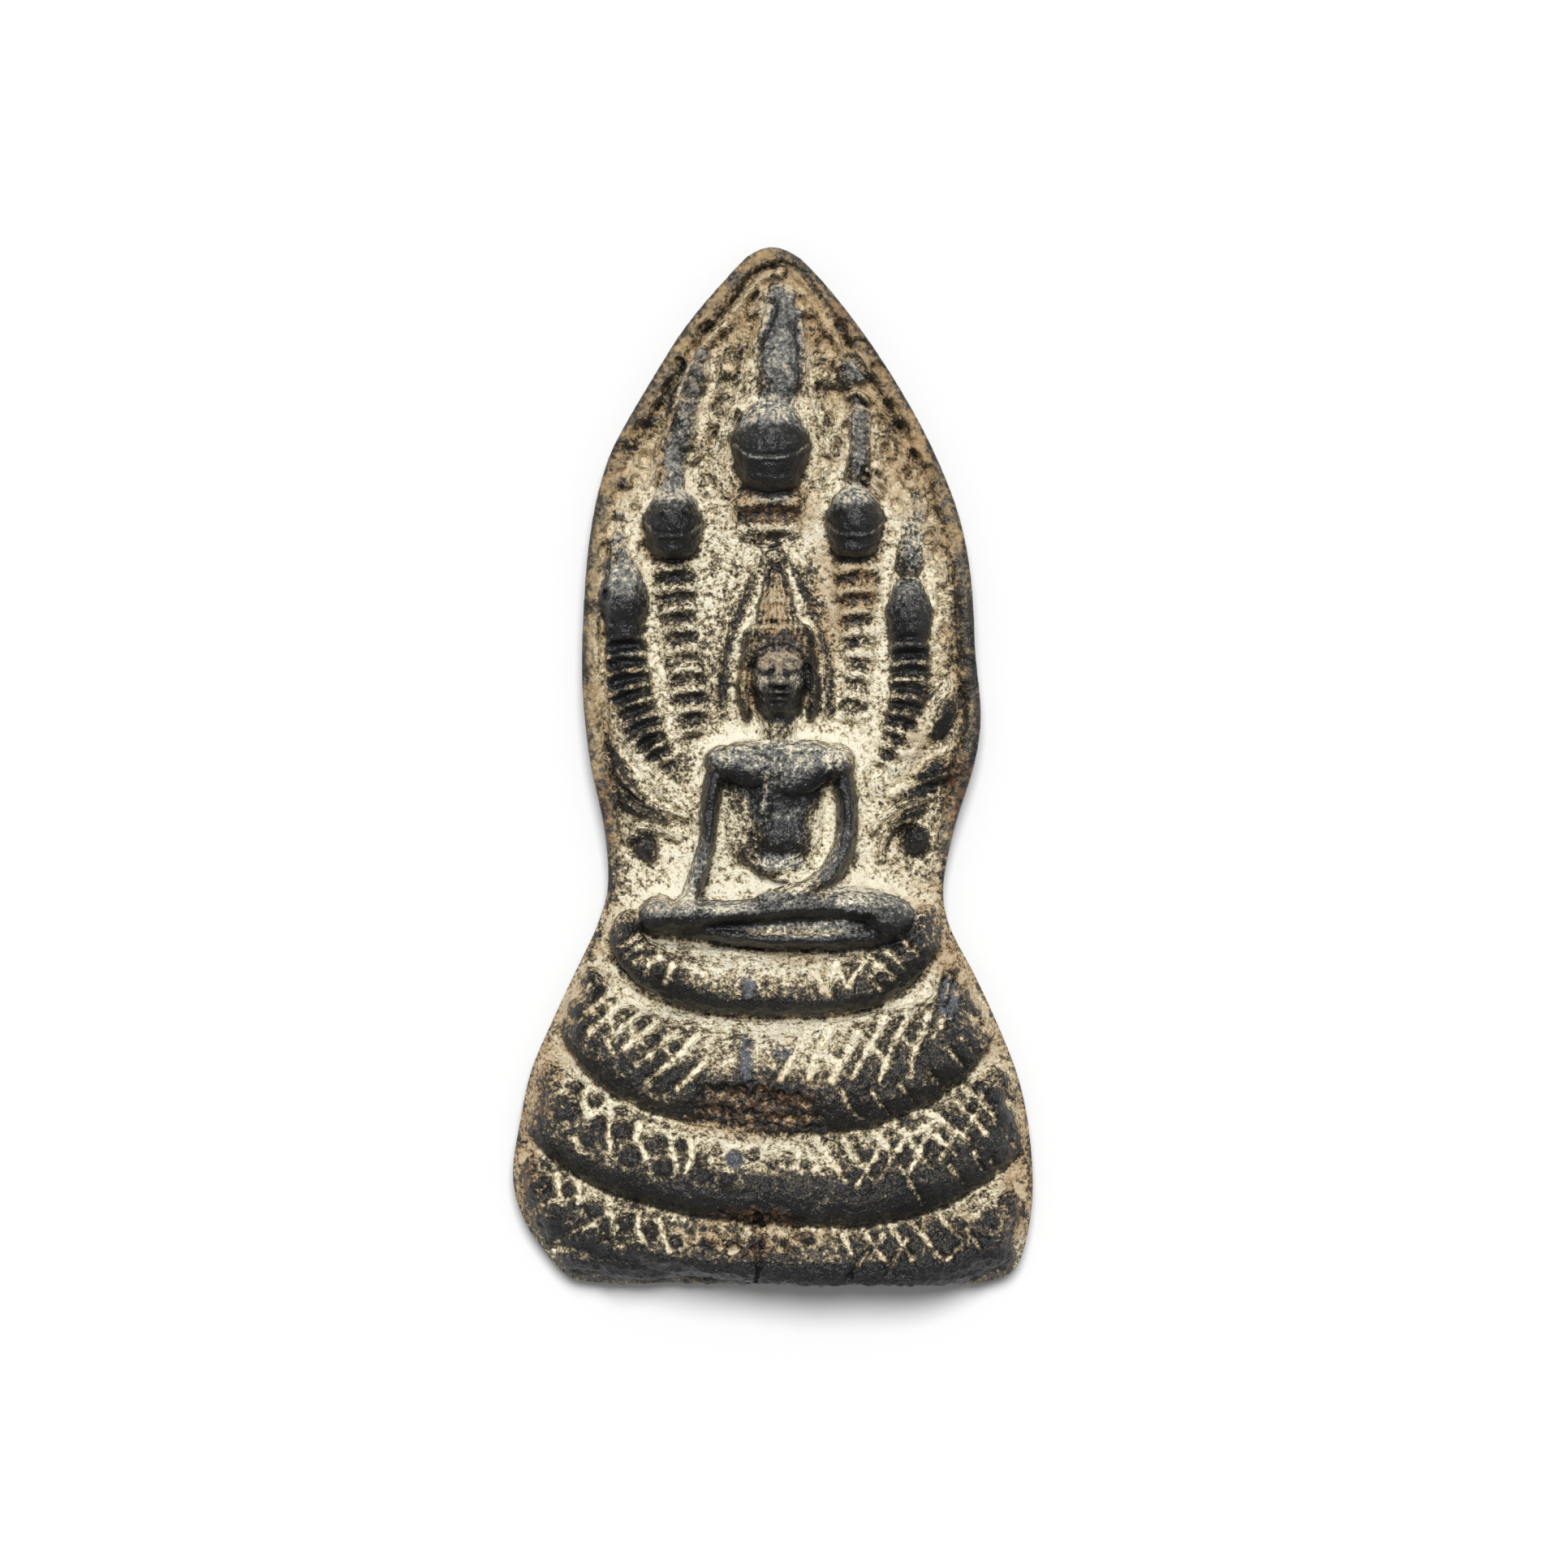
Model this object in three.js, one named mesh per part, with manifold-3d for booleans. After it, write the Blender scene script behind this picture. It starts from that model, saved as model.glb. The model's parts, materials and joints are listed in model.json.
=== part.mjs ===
// A naga buddha amulet: one solid casting, a pointed plate that lies on its flat back.
// Its front carries a seated figure on four coils of a serpent, under the serpent's five heads.
// Millimetres, +Z away from the flat back, +Y towards the plate's point.
// The relief is drawn in hundredths of the plate's height, with x = 0 on the figure's axis, y = 0 on the
// lower edge and its rise counted from the plate's field.

import * as THREE from 'three';
import { mergeVertices } from 'three/addons/utils/BufferGeometryUtils.js';
import Module from 'manifold-3d';

const wasm = await Module();
wasm.setup();

// Driving dimensions
const plateHeight = 54;
const plateThickness = 1.6; // from the back to the field that the relief stands on
const edgeRound = 0.35; // rounding of the plate's front and back edges
const rootDepth = 0.5; // how far each form of the relief is rooted below the field
const rimRise = 0.45;
const rimHalfWidth = 0.5;
const rimInset = 0.5; // from the plate's edge to the middle of the rim
const coilLean = 0.22; // how far a coil's crest hangs over its lower side, as a share of its half width
const scaleRelief = 0.14; // how far a scale stands out, as a share of its coil's rise
const ribRelief = 0.34; // how far a rib of a throat stands out, as a share of the throat's rise
const crackHalfWidth = 0.25;
const crackLength = 2.6;
const crackDepth = 1.6;
const crackAt = { x: -1.4, rise: 5.6 }; // its middle and its upper end, in the relief's drawing
const waistLevel = 38; // the rim starts above it
const outlineSegments = 2; // between two points of the plate's plan
const finestDetail = 0.04; // smaller steps are smoothed away once all is joined

const unit = plateHeight / 100; // of the relief's drawing

// Plan of the plate, from its lower corners up to its point
const leftSide = [
  [-16.9, 0], [-19.7, 0.6], [-22.3, 3.4], [-24.2, 6.5], [-25.1, 10.4], [-23.3, 20.5], [-19.1, 29.9],
  [-15.9, 38.5], [-17.6, 50.2], [-18.4, 61.1], [-17.4, 73.6], [-12.3, 86.1], [-4.4, 97], [0, 100],
];
const rightSide = [
  [20.5, 0], [22.9, 0.9], [24.2, 3], [25.1, 8.3], [23.7, 19.8], [19.4, 29.9], [16.5, 38.5],
  [19.5, 50.2], [19.9, 57], [18.1, 73.6], [12.4, 86.1], [4.5, 97], [0, 100],
];

const point = ([x, y]) => new THREE.Vector2(x, y).multiplyScalar(unit);

// The value at share t of a list of values spaced evenly from 0 to 1.
function valueAt(values, t) {
  const place = t * (values.length - 1);
  const low = Math.min(Math.floor(place), values.length - 2);
  return THREE.MathUtils.lerp(values[low], values[low + 1], place - low);
}

// Solids

function solidOf(geometry) {
  const bare = geometry.clone();
  bare.deleteAttribute('normal');
  bare.deleteAttribute('uv');
  const merged = mergeVertices(bare, 1e-4);
  return new wasm.Manifold(
    new wasm.Mesh({
      numProp: 3,
      vertProperties: merged.attributes.position.array,
      triVerts: new Uint32Array(merged.index.array),
    }),
  );
}

function geometryOf(solid) {
  const { vertProperties, triVerts } = solid.getMesh();
  const geometry = new THREE.BufferGeometry();
  geometry.setAttribute('position', new THREE.BufferAttribute(new Float32Array(vertProperties), 3));
  geometry.setIndex(new THREE.BufferAttribute(new Uint32Array(triVerts), 1));
  geometry.computeVertexNormals();
  return geometry;
}

// A form of the relief: a sphere drawn out along a route, domed above the field and flat at its root.
// halfWidth and rise are lists of values spaced evenly along the route.
// blunt sets how late the ends round off, and lean moves the crest to the right of the route.
// profile is below 1 for a flat top and above 1 for a bell-shaped section.
// carving is the depth of its pattern as a share of the rise: scales, or ribs across the route.
// worn is the share of the route, about its middle, where the carving has worn away.
function form({
  route, halfWidth, rise, around = 12, along = 20, blunt = 6, lean = 0, profile = 1,
  carving = 0, ribbed = false, worn = 0,
}) {
  const curve = new THREE.SplineCurve(route.map(point));
  const geometry = new THREE.SphereGeometry(1, around, along);
  const { position, uv } = geometry.attributes;
  for (let i = 0; i < position.count; i++) {
    const turn = 2 * Math.PI * uv.getX(i);
    const t = THREE.MathUtils.clamp(1 - uv.getY(i), 0, 1);
    const middle = curve.getPointAt(t);
    const ahead = curve.getTangentAt(t);
    const full = Math.sqrt(Math.max(0, 1 - Math.abs(2 * t - 1) ** blunt));
    const side = Math.cos(turn);
    const ring = Math.round(t * along);
    const place = ribbed ? ring : ring + Math.round(uv.getX(i) * around);
    const left = worn ? THREE.MathUtils.smoothstep(Math.abs(2 * t - 1), 0.3 * worn, 1.3 * worn) : 1;
    const scale = 1 + (place % 2 ? 0.5 : -0.5) * carving * left;
    const across = (side + lean * (1 - side * side)) * valueAt(halfWidth, t) * unit * full;
    const up = Math.max(0, Math.sin(turn)) ** profile * full * scale;
    position.setXYZ(
      i,
      middle.x + ahead.y * across,
      middle.y - ahead.x * across,
      plateThickness - rootDepth + up * (valueAt(rise, t) * unit + rootDepth),
    );
  }
  return solidOf(geometry);
}

// An oval boss, such as a head or a knee.
function boss({ at: [x, y], size: [halfWidth, halfHeight], rise, around = 12, along = 6 }) {
  const route = [[x, y + halfHeight], [x, y], [x, y - halfHeight]];
  return form({ route, halfWidth: [halfWidth, halfWidth], rise: [rise, rise], around, along, blunt: 2 });
}

const mirrored = (route, axis) => route.map(([x, y]) => [2 * axis - x, y]);

// Plate

function plateShape() {
  const start = point(leftSide[0]);
  const shape = new THREE.Shape().moveTo(start.x, start.y);
  shape.splineThru(leftSide.slice(1).map(point));
  shape.splineThru(rightSide.slice(0, -1).reverse().map(point));
  shape.closePath();
  return shape;
}

function plate() {
  const geometry = new THREE.ExtrudeGeometry(plateShape(), {
    depth: plateThickness - 2 * edgeRound,
    curveSegments: outlineSegments,
    bevelThickness: edgeRound,
    bevelSize: edgeRound,
    bevelOffset: -edgeRound,
    bevelSegments: 2,
  });
  return solidOf(geometry.translate(0, 0, edgeRound));
}

// The raised rim runs round the hood, from one side of the waist over the point to the other.
function rim() {
  const waist = ([, y]) => y > waistLevel;
  const edge = [...leftSide.filter(waist), ...rightSide.slice(0, -1).filter(waist).reverse()].map(point);
  const curve = new THREE.SplineCurve(edge);
  const steps = 16;
  const route = Array.from({ length: steps + 1 }, (_, i) => {
    const { x, y } = curve.getPointAt(i / steps);
    const ahead = curve.getTangentAt(i / steps);
    return [(x + ahead.y * rimInset) / unit, (y - ahead.x * rimInset) / unit];
  });
  const halfWidth = [rimHalfWidth / unit, rimHalfWidth / unit];
  return form({ route, halfWidth, rise: [rimRise / unit, rimRise / unit], around: 4, along: 44, blunt: 16 });
}

// Serpent's coils, from the seat down. Each lists the run of its middle line from left to right.
const coils = [
  {
    route: [[-13.2, 36], [-14, 33.2], [-11.2, 30.6], [-5.5, 29.3], [0.5, 29],
      [7, 29.3], [12, 31], [14.5, 33.8], [14.4, 36.6]],
    halfWidth: [1.3, 1.8, 2.9, 3.2, 3.2, 3.2, 2.9, 1.9, 1.6],
    rise: [2.6, 4.3, 5, 5.2, 5.2, 5.2, 5, 4.3, 2.8],
    along: 42, worn: 0.3,
  },
  {
    route: [[-17.8, 30.4], [-17.4, 26.2], [-14.2, 22.9], [-8, 20.9], [0.5, 20.1],
      [8, 20.5], [14.2, 22.6], [18, 26], [18.3, 31.4]],
    halfWidth: [1.8, 2.7, 4.4, 5.3, 5.5, 5.4, 4.7, 3.2, 1.8],
    rise: [2.2, 4.3, 6.1, 6.7, 6.7, 6.7, 6.3, 4.6, 2.2],
    along: 50, worn: 0.3,
  },
  {
    route: [[-23, 23.4], [-21.4, 18.4], [-16.6, 14.4], [-8.4, 11.7], [0.5, 10.5],
      [9, 10.7], [16.2, 13.2], [21.4, 16.8], [23.8, 21]],
    halfWidth: [2.8, 3.3, 4, 4.2, 4.3, 4.6, 4.6, 4, 3],
    rise: [1.9, 4.1, 6.1, 6.9, 6.9, 6.9, 6.5, 4.6, 1.9],
    along: 56, worn: 0.25,
  },
  {
    route: [[-25.6, 10.4], [-21.4, 8], [-15.5, 5.8], [-8, 4.4], [0.5, 3.5],
      [9, 3.2], [16, 4], [21.4, 5.8], [25.6, 9.4]],
    halfWidth: [2.8, 2.8, 2.8, 2.8, 3.1, 3.3, 3.7, 3.7, 3],
    rise: [1.5, 3.3, 4.8, 5.4, 5.4, 5.4, 5, 3.7, 1.5],
    along: 56, worn: 0.35,
  },
];

function coil({ route, halfWidth, rise, along, worn }) {
  return form({
    route, halfWidth, rise, along, around: 12, lean: coilLean, blunt: 24, carving: scaleRelief, worn,
  });
}

// The tail's end lies under the lowest coil at the left.
function tail() {
  return form({
    route: [[-21, 2.9], [-15, 2.2], [-7.6, 1.5]],
    halfWidth: [1.4, 1.8, 1.1],
    rise: [1.9, 3.5, 2.2],
    around: 8,
    along: 10,
  });
}

// Serpent's hood: each head has a crest above it and a ribbed throat below it.
const heads = [
  {
    at: [-0.3, 82], size: [4.1, 4.6], rise: 5.4,
    crest: [[0.6, 97.4], [0.9, 92.3], [0.6, 88.4], [0, 84]], crestWidth: [0.9, 1.7, 2.2, 2.9],
    throat: [[-0.4, 79], [-0.4, 75.5], [-0.4, 71.6]], throatWidth: [4, 4, 3.2], ribs: 4,
  },
  {
    at: [-9.7, 73.9], size: [3, 3.6], rise: 4.3,
    crest: [[-6.6, 90.4], [-7.7, 86.8], [-8.7, 83.7], [-10.2, 79], [-9.8, 75]],
    crestWidth: [0.7, 1.3, 1.2, 1.6],
    throat: [[-9.8, 71.5], [-9.2, 65], [-8.4, 58.8], [-7.6, 52]], throatWidth: [3, 1.9, 2, 1.9], ribs: 12,
  },
  {
    at: [7.9, 74.1], size: [3.1, 3.6], rise: 4.3,
    crest: [[7.2, 90.4], [7.9, 86.9], [8.4, 81.4], [8.2, 76]], crestWidth: [1.4, 1.3, 0.9, 1.4],
    throat: [[7.8, 71.5], [8.2, 65], [8.4, 59.9], [8, 53.4]], throatWidth: [3, 2, 1.7, 1.5], ribs: 11,
  },
  {
    at: [-14.4, 66.1], size: [2.4, 3.7], rise: 3.5,
    crest: [[-14.3, 78.4], [-14.7, 73.6], [-14.7, 68]], crestWidth: [0.8, 0.9, 1.3],
    throat: [[-14.3, 64], [-13.7, 57.6], [-11.9, 52.6], [-8.6, 47.8]],
    throatWidth: [2.4, 2.1, 1.9, 1.5], ribs: 11,
  },
  {
    at: [13.2, 65.4], size: [2.4, 3.8], rise: 3.5,
    crest: [[14.2, 76.8], [13.6, 70.8], [13.1, 66]], crestWidth: [1, 0.9, 1.3],
    throat: [[13.3, 63.4], [13.2, 57], [12, 52.2], [9.6, 47.6]], throatWidth: [2.3, 1.9, 1.8, 1.3], ribs: 11,
  },
];

function headForms(head) {
  const { at: [x, y], size: [halfWidth, halfHeight], rise } = head;
  const jawLevel = y - 0.66 * halfHeight;
  const snout = form({
    route: [[x, y + halfHeight], [x, y], [x, y - 0.74 * halfHeight]],
    halfWidth: [0.7 * halfWidth, 0.96 * halfWidth, 1.06 * halfWidth, 1.08 * halfWidth],
    rise: [0.8 * rise, rise, 0.96 * rise],
    around: 12,
    along: 8,
    blunt: 3,
  });
  const jaw = form({
    route: [[x - halfWidth, jawLevel], [x, jawLevel - 0.18 * halfHeight], [x + halfWidth, jawLevel]],
    halfWidth: [0.34 * halfHeight, 0.42 * halfHeight, 0.34 * halfHeight],
    rise: [0.6 * rise, 0.84 * rise, 0.6 * rise],
    around: 8,
    along: 8,
    blunt: 5,
  });
  const ridge = form({
    route: head.crest, halfWidth: head.crestWidth, rise: [0.25 * rise, 0.4 * rise, 0.6 * rise],
    around: 8, along: 8,
  });
  const neck = form({
    route: head.throat, halfWidth: head.throatWidth, rise: [0.55 * rise, 0.5 * rise, 0.25 * rise],
    around: 8, along: 2 * head.ribs, blunt: 12, carving: ribRelief, ribbed: true,
  });
  return [snout, jaw, ridge, neck];
}

// A low leaf lies behind the middle head and its crest.
function leaf() {
  return form({
    route: [[0.8, 98], [0.5, 91], [0, 85], [-0.3, 77.5]],
    halfWidth: [1.4, 3.2, 4.8, 4.6],
    rise: [0.6, 0.6, 0.6, 0.5],
    around: 8,
    along: 10,
    profile: 0.4,
  });
}

// Ridges that close the hood below, and the flame-shaped fins outside them.
const hoodEdges = [
  [[-17.4, 60.6], [-16.7, 55.6], [-14.1, 50.8], [-11.3, 47.8], [-7.2, 44.4]],
  [[18.4, 59.4], [15.9, 55.4], [14.4, 52.4], [12.3, 49.4], [9.6, 46.2]],
];
const fins = [
  { route: [[-16.2, 52], [-14.6, 48.6], [-11.2, 45.6]], halfWidth: [0.5, 1.2, 0.3] },
  { route: [[-15.4, 47], [-13.4, 45], [-10.4, 44.2]], halfWidth: [0.4, 1, 0.3] },
  { route: [[-14.4, 44.6], [-12.9, 43], [-12, 41.2], [-12.6, 39.8]], halfWidth: [0.5, 1, 1.2, 0.5] },
  { route: [[18, 58.4], [16.8, 54.6], [15, 51.6]], halfWidth: [0.3, 1.4, 0.4] },
  { route: [[18, 52.6], [16, 49.6], [13.4, 48]], halfWidth: [0.5, 1.5, 0.5] },
  { route: [[16.4, 47.6], [13.6, 46], [9.8, 44.2]], halfWidth: [0.5, 1.1, 0.3] },
  { route: [[15.6, 44.6], [13.4, 43], [11.6, 40.6]], halfWidth: [0.6, 1.4, 0.5] },
];

const hoodEdge = (route) => form({
  route, halfWidth: [0.5, 0.75, 0.7], rise: [0.7, 1.2, 0.9], around: 4, along: 12,
});
const fin = ({ route, halfWidth }) => form({ route, halfWidth, rise: [0.9, 1.7, 0.7], around: 8, along: 6 });

// Section of the figure's limbs
const limb = 1.4;

// Seated figure, right hand on the shin and left hand in the lap. headAxis is the middle of its face.
const headAxis = 0.6;
const figure = {
  torso: {
    route: [[0.5, 53.2], [0.4, 49.2], [0.4, 45.2], [0.5, 41.2], [0.3, 36.8]],
    halfWidth: [6, 5, 3.2, 3.5, 4.4], rise: [4, 4, 3, 3.4, 3.4], along: 16, profile: 0.8,
  },
  shoulders: {
    route: [[-6.6, 49], [-5, 50.7], [0.4, 50.9], [6, 50.7], [7.8, 48.8]],
    halfWidth: [1.5, 1.9, 2.2, 1.9, 1.5], rise: [3.7, 4.1, 3.7, 4.1, 3.7], along: 10, around: 8,
  },
  chest: {
    route: [[-4.4, 50], [-2, 49.4], [0.4, 49.9], [2.8, 49.4], [5.4, 50]],
    halfWidth: [1.4, 2.2, 1.9, 2.2, 1.4], rise: [3.8, 4.4, 4.2, 4.4, 3.8], along: 12, around: 8,
  },
  rightArm: {
    route: [[-5.1, 51], [-5.9, 46.6], [-6.3, 42.4], [-7.4, 39.2], [-8.4, 36.4]],
    halfWidth: [1.5, 1.4, 1.2, 1, 1.4], rise: [4.3, 4.1, 4.1, 4.6, 5.9], along: 12, around: 8, profile: limb,
  },
  leftArm: {
    route: [[6.2, 51], [7.2, 46.8], [7, 43], [5.6, 40], [2.1, 37.9], [-2.2, 37.2]],
    halfWidth: [1.5, 1.5, 1.3, 1.3, 1.2, 1.1], rise: [4.3, 4.1, 4.4, 4.8, 5, 4.6],
    along: 14, around: 8, profile: limb,
  },
  lap: {
    route: [[-12.8, 35.2], [-7, 35], [0.5, 34.9], [8, 35], [13.8, 35]],
    halfWidth: [2.4, 2.7, 2.6, 2.9, 2.6], rise: [4.3, 4.1, 3.7, 4.1, 4.3], along: 10, around: 8, profile: 0.6,
  },
  upperLeg: {
    route: [[-11.8, 35.3], [-7.2, 35.2], [-1.2, 35.7], [4, 36], [9, 36], [12.8, 35.1]],
    halfWidth: [2.3, 1.7, 1.4, 1.6, 2, 2.4], rise: [5.9, 6.1, 5.7, 5.9, 6.1, 5.9], along: 12, around: 8,
  },
  lowerLeg: {
    route: [[12.6, 34.6], [9, 33.2], [4, 32.9], [-1.5, 32.8], [-8.6, 33.6]],
    halfWidth: [1.8, 1.4, 1.2, 1, 1], rise: [5.7, 5.6, 5.4, 5.2, 5.2], along: 12, around: 8,
  },
  neck: {
    route: [[headAxis, 57], [headAxis, 51.6]],
    halfWidth: [1.9, 2.1], rise: [2.6, 2.8], along: 6, around: 8,
  },
  crown: {
    route: [[0.4, 63], [0.3, 66.4], [0.3, 70]],
    halfWidth: [2.4, 1.5, 0.4], rise: [3.5, 2.8, 1.3], along: 10, around: 8, carving: 0.1,
  },
  crownBand: {
    route: [[-2.4, 64.2], [headAxis, 64.5], [3.4, 64.2]],
    halfWidth: [0.6, 0.8, 0.6], rise: [3.1, 4.1, 3.1], along: 12, around: 6, carving: 0.14, ribbed: true,
  },
  nose: {
    route: [[headAxis, 60.4], [headAxis, 57.8]],
    halfWidth: [0.4, 0.7], rise: [4.9, 5.5], along: 5, around: 4,
  },
  lips: {
    route: [[headAxis - 1.1, 56.9], [headAxis, 56.7], [headAxis + 1.1, 56.9]],
    halfWidth: [0.3, 0.55, 0.3], rise: [3.9, 4.4, 3.9], along: 6, around: 4,
  },
};
const figureBosses = [
  { at: [0.5, 41.2], size: [2.7, 2.4], rise: 3.8, around: 8 }, // belly
  { at: [-10.7, 35.3], size: [2.3, 2.6], rise: 6.1 }, // knees
  { at: [11.1, 35.2], size: [2.8, 2.9], rise: 6.3 },
  { at: [-8.5, 36], size: [1.3, 1.8], rise: 6.7, around: 8 }, // hand on the shin
  { at: [headAxis, 59.2], size: [3.2, 4.7], rise: 4.8, along: 10 }, // head
  { at: [headAxis, 62], size: [3.4, 2.1], rise: 4.4 }, // hair
  { at: [headAxis - 1.25, 59.7], size: [0.95, 0.5], rise: 4.7, around: 8 }, // eyelids
  { at: [headAxis + 1.25, 59.7], size: [0.95, 0.5], rise: 4.7, around: 8 },
];
const ear = [[headAxis - 3.2, 61], [headAxis - 3.6, 57.6], [headAxis - 2.7, 53.8]];
const earForm = (route) => form({
  route, halfWidth: [0.5, 0.6, 0.5], rise: [2.8, 2.2, 1.5], around: 4, along: 6,
});

// A pointed nimbus ridge frames the head.
function nimbus() {
  const axis = 0.5;
  const arch = [[axis - 5.6, 55], [axis - 4.9, 58.8], [axis - 3.9, 61.9], [axis - 2, 66.6]];
  return form({
    route: [...arch, [axis - 0.1, 70.9], ...mirrored(arch, axis).reverse()],
    halfWidth: [0.5, 0.6, 0.5], rise: [0.7, 1.1, 0.7], around: 4, along: 20, blunt: 12,
  });
}

// A crack in the lowest coil, left of the middle.
function crack() {
  const top = plateThickness + crackAt.rise * unit;
  const wedge = new THREE.ConeGeometry(crackHalfWidth, crackDepth, 4).rotateX(-Math.PI / 2);
  wedge.scale(1, crackLength / (2 * crackHalfWidth), 1);
  return solidOf(wedge.translate(crackAt.x * unit, crackLength / 2, top - crackDepth / 2));
}

// Joins the plate and the relief, trims the relief to the plate's edge and sets the origin.
function casting() {
  const relief = [
    rim(),
    ...coils.map(coil),
    tail(),
    leaf(),
    ...heads.flatMap(headForms),
    ...hoodEdges.map(hoodEdge),
    ...fins.map(fin),
    ...Object.values(figure).map(form),
    ...figureBosses.map(boss),
    earForm(ear),
    earForm(mirrored(ear, headAxis)),
    nimbus(),
  ];
  const joined = wasm.Manifold.union([plate(), ...relief]);
  const edge = new THREE.ExtrudeGeometry(plateShape(), {
    depth: plateHeight, curveSegments: outlineSegments, bevelEnabled: false,
  });
  const trimmed = joined.intersect(solidOf(edge)).subtract(crack()).simplify(finestDetail);
  const geometry = geometryOf(trimmed);
  geometry.computeBoundingBox();
  const { min, max } = geometry.boundingBox;
  return geometry.translate(-(min.x + max.x) / 2, -(min.y + max.y) / 2, -min.z);
}

const patinatedMetal = new THREE.MeshStandardMaterial({ color: 0x4a453d, roughness: 0.6, metalness: 0.35 });

const amulet = new THREE.Mesh(casting(), patinatedMetal);
amulet.name = 'naga_buddha_amulet';

const part = new THREE.Group();
part.add(amulet);

export default part;
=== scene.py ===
import json
import math
import random

import bpy
import numpy as np
from mathutils import Matrix, Vector

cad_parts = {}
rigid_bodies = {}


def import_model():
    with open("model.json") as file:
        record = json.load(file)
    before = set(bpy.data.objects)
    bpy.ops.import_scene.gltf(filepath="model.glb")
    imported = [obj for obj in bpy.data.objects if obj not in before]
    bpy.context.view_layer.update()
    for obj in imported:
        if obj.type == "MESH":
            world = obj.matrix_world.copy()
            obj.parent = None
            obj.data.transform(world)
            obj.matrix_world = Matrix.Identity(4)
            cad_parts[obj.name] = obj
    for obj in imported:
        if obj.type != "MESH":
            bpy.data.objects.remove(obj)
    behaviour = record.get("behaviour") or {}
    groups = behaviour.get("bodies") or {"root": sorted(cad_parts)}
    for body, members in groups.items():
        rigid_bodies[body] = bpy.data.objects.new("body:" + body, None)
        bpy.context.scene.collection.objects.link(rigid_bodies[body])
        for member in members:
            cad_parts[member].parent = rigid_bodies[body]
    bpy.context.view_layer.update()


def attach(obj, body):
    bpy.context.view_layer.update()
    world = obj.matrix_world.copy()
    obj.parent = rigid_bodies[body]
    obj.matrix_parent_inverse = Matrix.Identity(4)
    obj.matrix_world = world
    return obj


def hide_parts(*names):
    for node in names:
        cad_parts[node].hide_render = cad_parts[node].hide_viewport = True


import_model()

random.seed(7)
print("frame loaded")

# The amulet is modelled in millimetres and made metres at the end.
# Relief is drawn in hundredths of the plate's height: x = 0 on the figure's axis, y = 0 on the lower edge,
# and its rise counted from the plate's field.
plate = {
    "height": 54.0,
    "thickness": 1.6,
    "edgeRound": 0.32,
    "left": [
        (-16.9, 0), (-19.7, 0.6), (-22.3, 3.4), (-24.2, 6.5), (-25.1, 10.4), (-24.4, 15.5), (-23.3, 20.5),
        (-21.3, 25.2), (-19.1, 29.9), (-16.9, 34.6), (-15.9, 38.5), (-16.3, 44), (-17.6, 50.2),
        (-18.3, 56.4), (-18.4, 61.1), (-18.1, 67.4), (-17.4, 73.6), (-15.7, 79.9), (-12.3, 86.1),
        (-8.4, 92.3), (-4.4, 97), (-2.1, 99.3), (0, 100),
    ],
    "right": [
        (0, 100), (2.2, 99.2), (4.5, 97), (8.3, 92.3), (12.4, 86.1), (15.7, 79.9), (18.1, 73.6),
        (19.2, 67.4), (19.6, 60.3), (20.1, 54.9), (19.5, 50.2), (17.6, 44), (16.5, 38.5), (17, 34.6),
        (19.4, 29.9), (21.6, 25.2), (23.7, 19.8), (24.8, 14.3), (25.1, 8.3), (24.2, 3), (22.9, 0.9),
        (20.5, 0),
    ],
}
unit = plate["height"] / 100
metre = 0.001   # of the millimetres that the amulet is modelled in


def spot(x, y, rise=0.0):
    return Vector((x * unit, (y - 50) * unit, plate["thickness"] + rise * unit))


def deselectAll():
    bpy.ops.object.select_all(action="DESELECT")


def deselectMesh(kind):
    # nothing of the active mesh stays selected, ready to select vertices or faces in code
    bpy.ops.object.mode_set(mode="EDIT")
    bpy.ops.mesh.select_mode(type=kind)
    bpy.ops.mesh.select_all(action="DESELECT")
    bpy.ops.object.mode_set(mode="OBJECT")


def meshArray(mesh):
    co = np.zeros(len(mesh.vertices) * 3)
    mesh.vertices.foreach_get("co", co)
    return co.reshape(-1, 3)


def inHundredths(co):
    return co[:, 0] / unit, co[:, 1] / unit + 50


def moveMesh(mesh, co):
    mesh.vertices.foreach_set("co", co.ravel())
    mesh.update()


def smoothRoute(route, count):
    # evenly spaced points on a smooth line through the route's points, and its direction at each
    points = np.array(route, float)
    ends = np.vstack([2 * points[0] - points[1], points, 2 * points[-1] - points[-2]])
    fine = []
    for i in range(len(points) - 1):
        a, b, c, d = ends[i:i + 4]
        for t in np.linspace(0, 1, 24, endpoint=False):
            fine.append(0.5 * (2 * b + (c - a) * t + (2 * a - 5 * b + 4 * c - d) * t * t
                               + (3 * b - a - 3 * c + d) * t ** 3))
    fine = np.array(fine + [points[-1]])
    run = np.concatenate([[0], np.cumsum(np.linalg.norm(np.diff(fine, axis=0), axis=1))])
    wanted = np.linspace(0, run[-1], count)
    path = np.stack([np.interp(wanted, run, fine[:, k]) for k in range(2)], axis=1)
    ahead = np.gradient(path, axis=0)
    return path, ahead / np.linalg.norm(ahead, axis=1)[:, None], run[-1]


def valueAt(values, share):
    return np.interp(share, np.linspace(0, 1, len(values)), values)


relief = []   # every form that the casting is joined from


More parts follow.
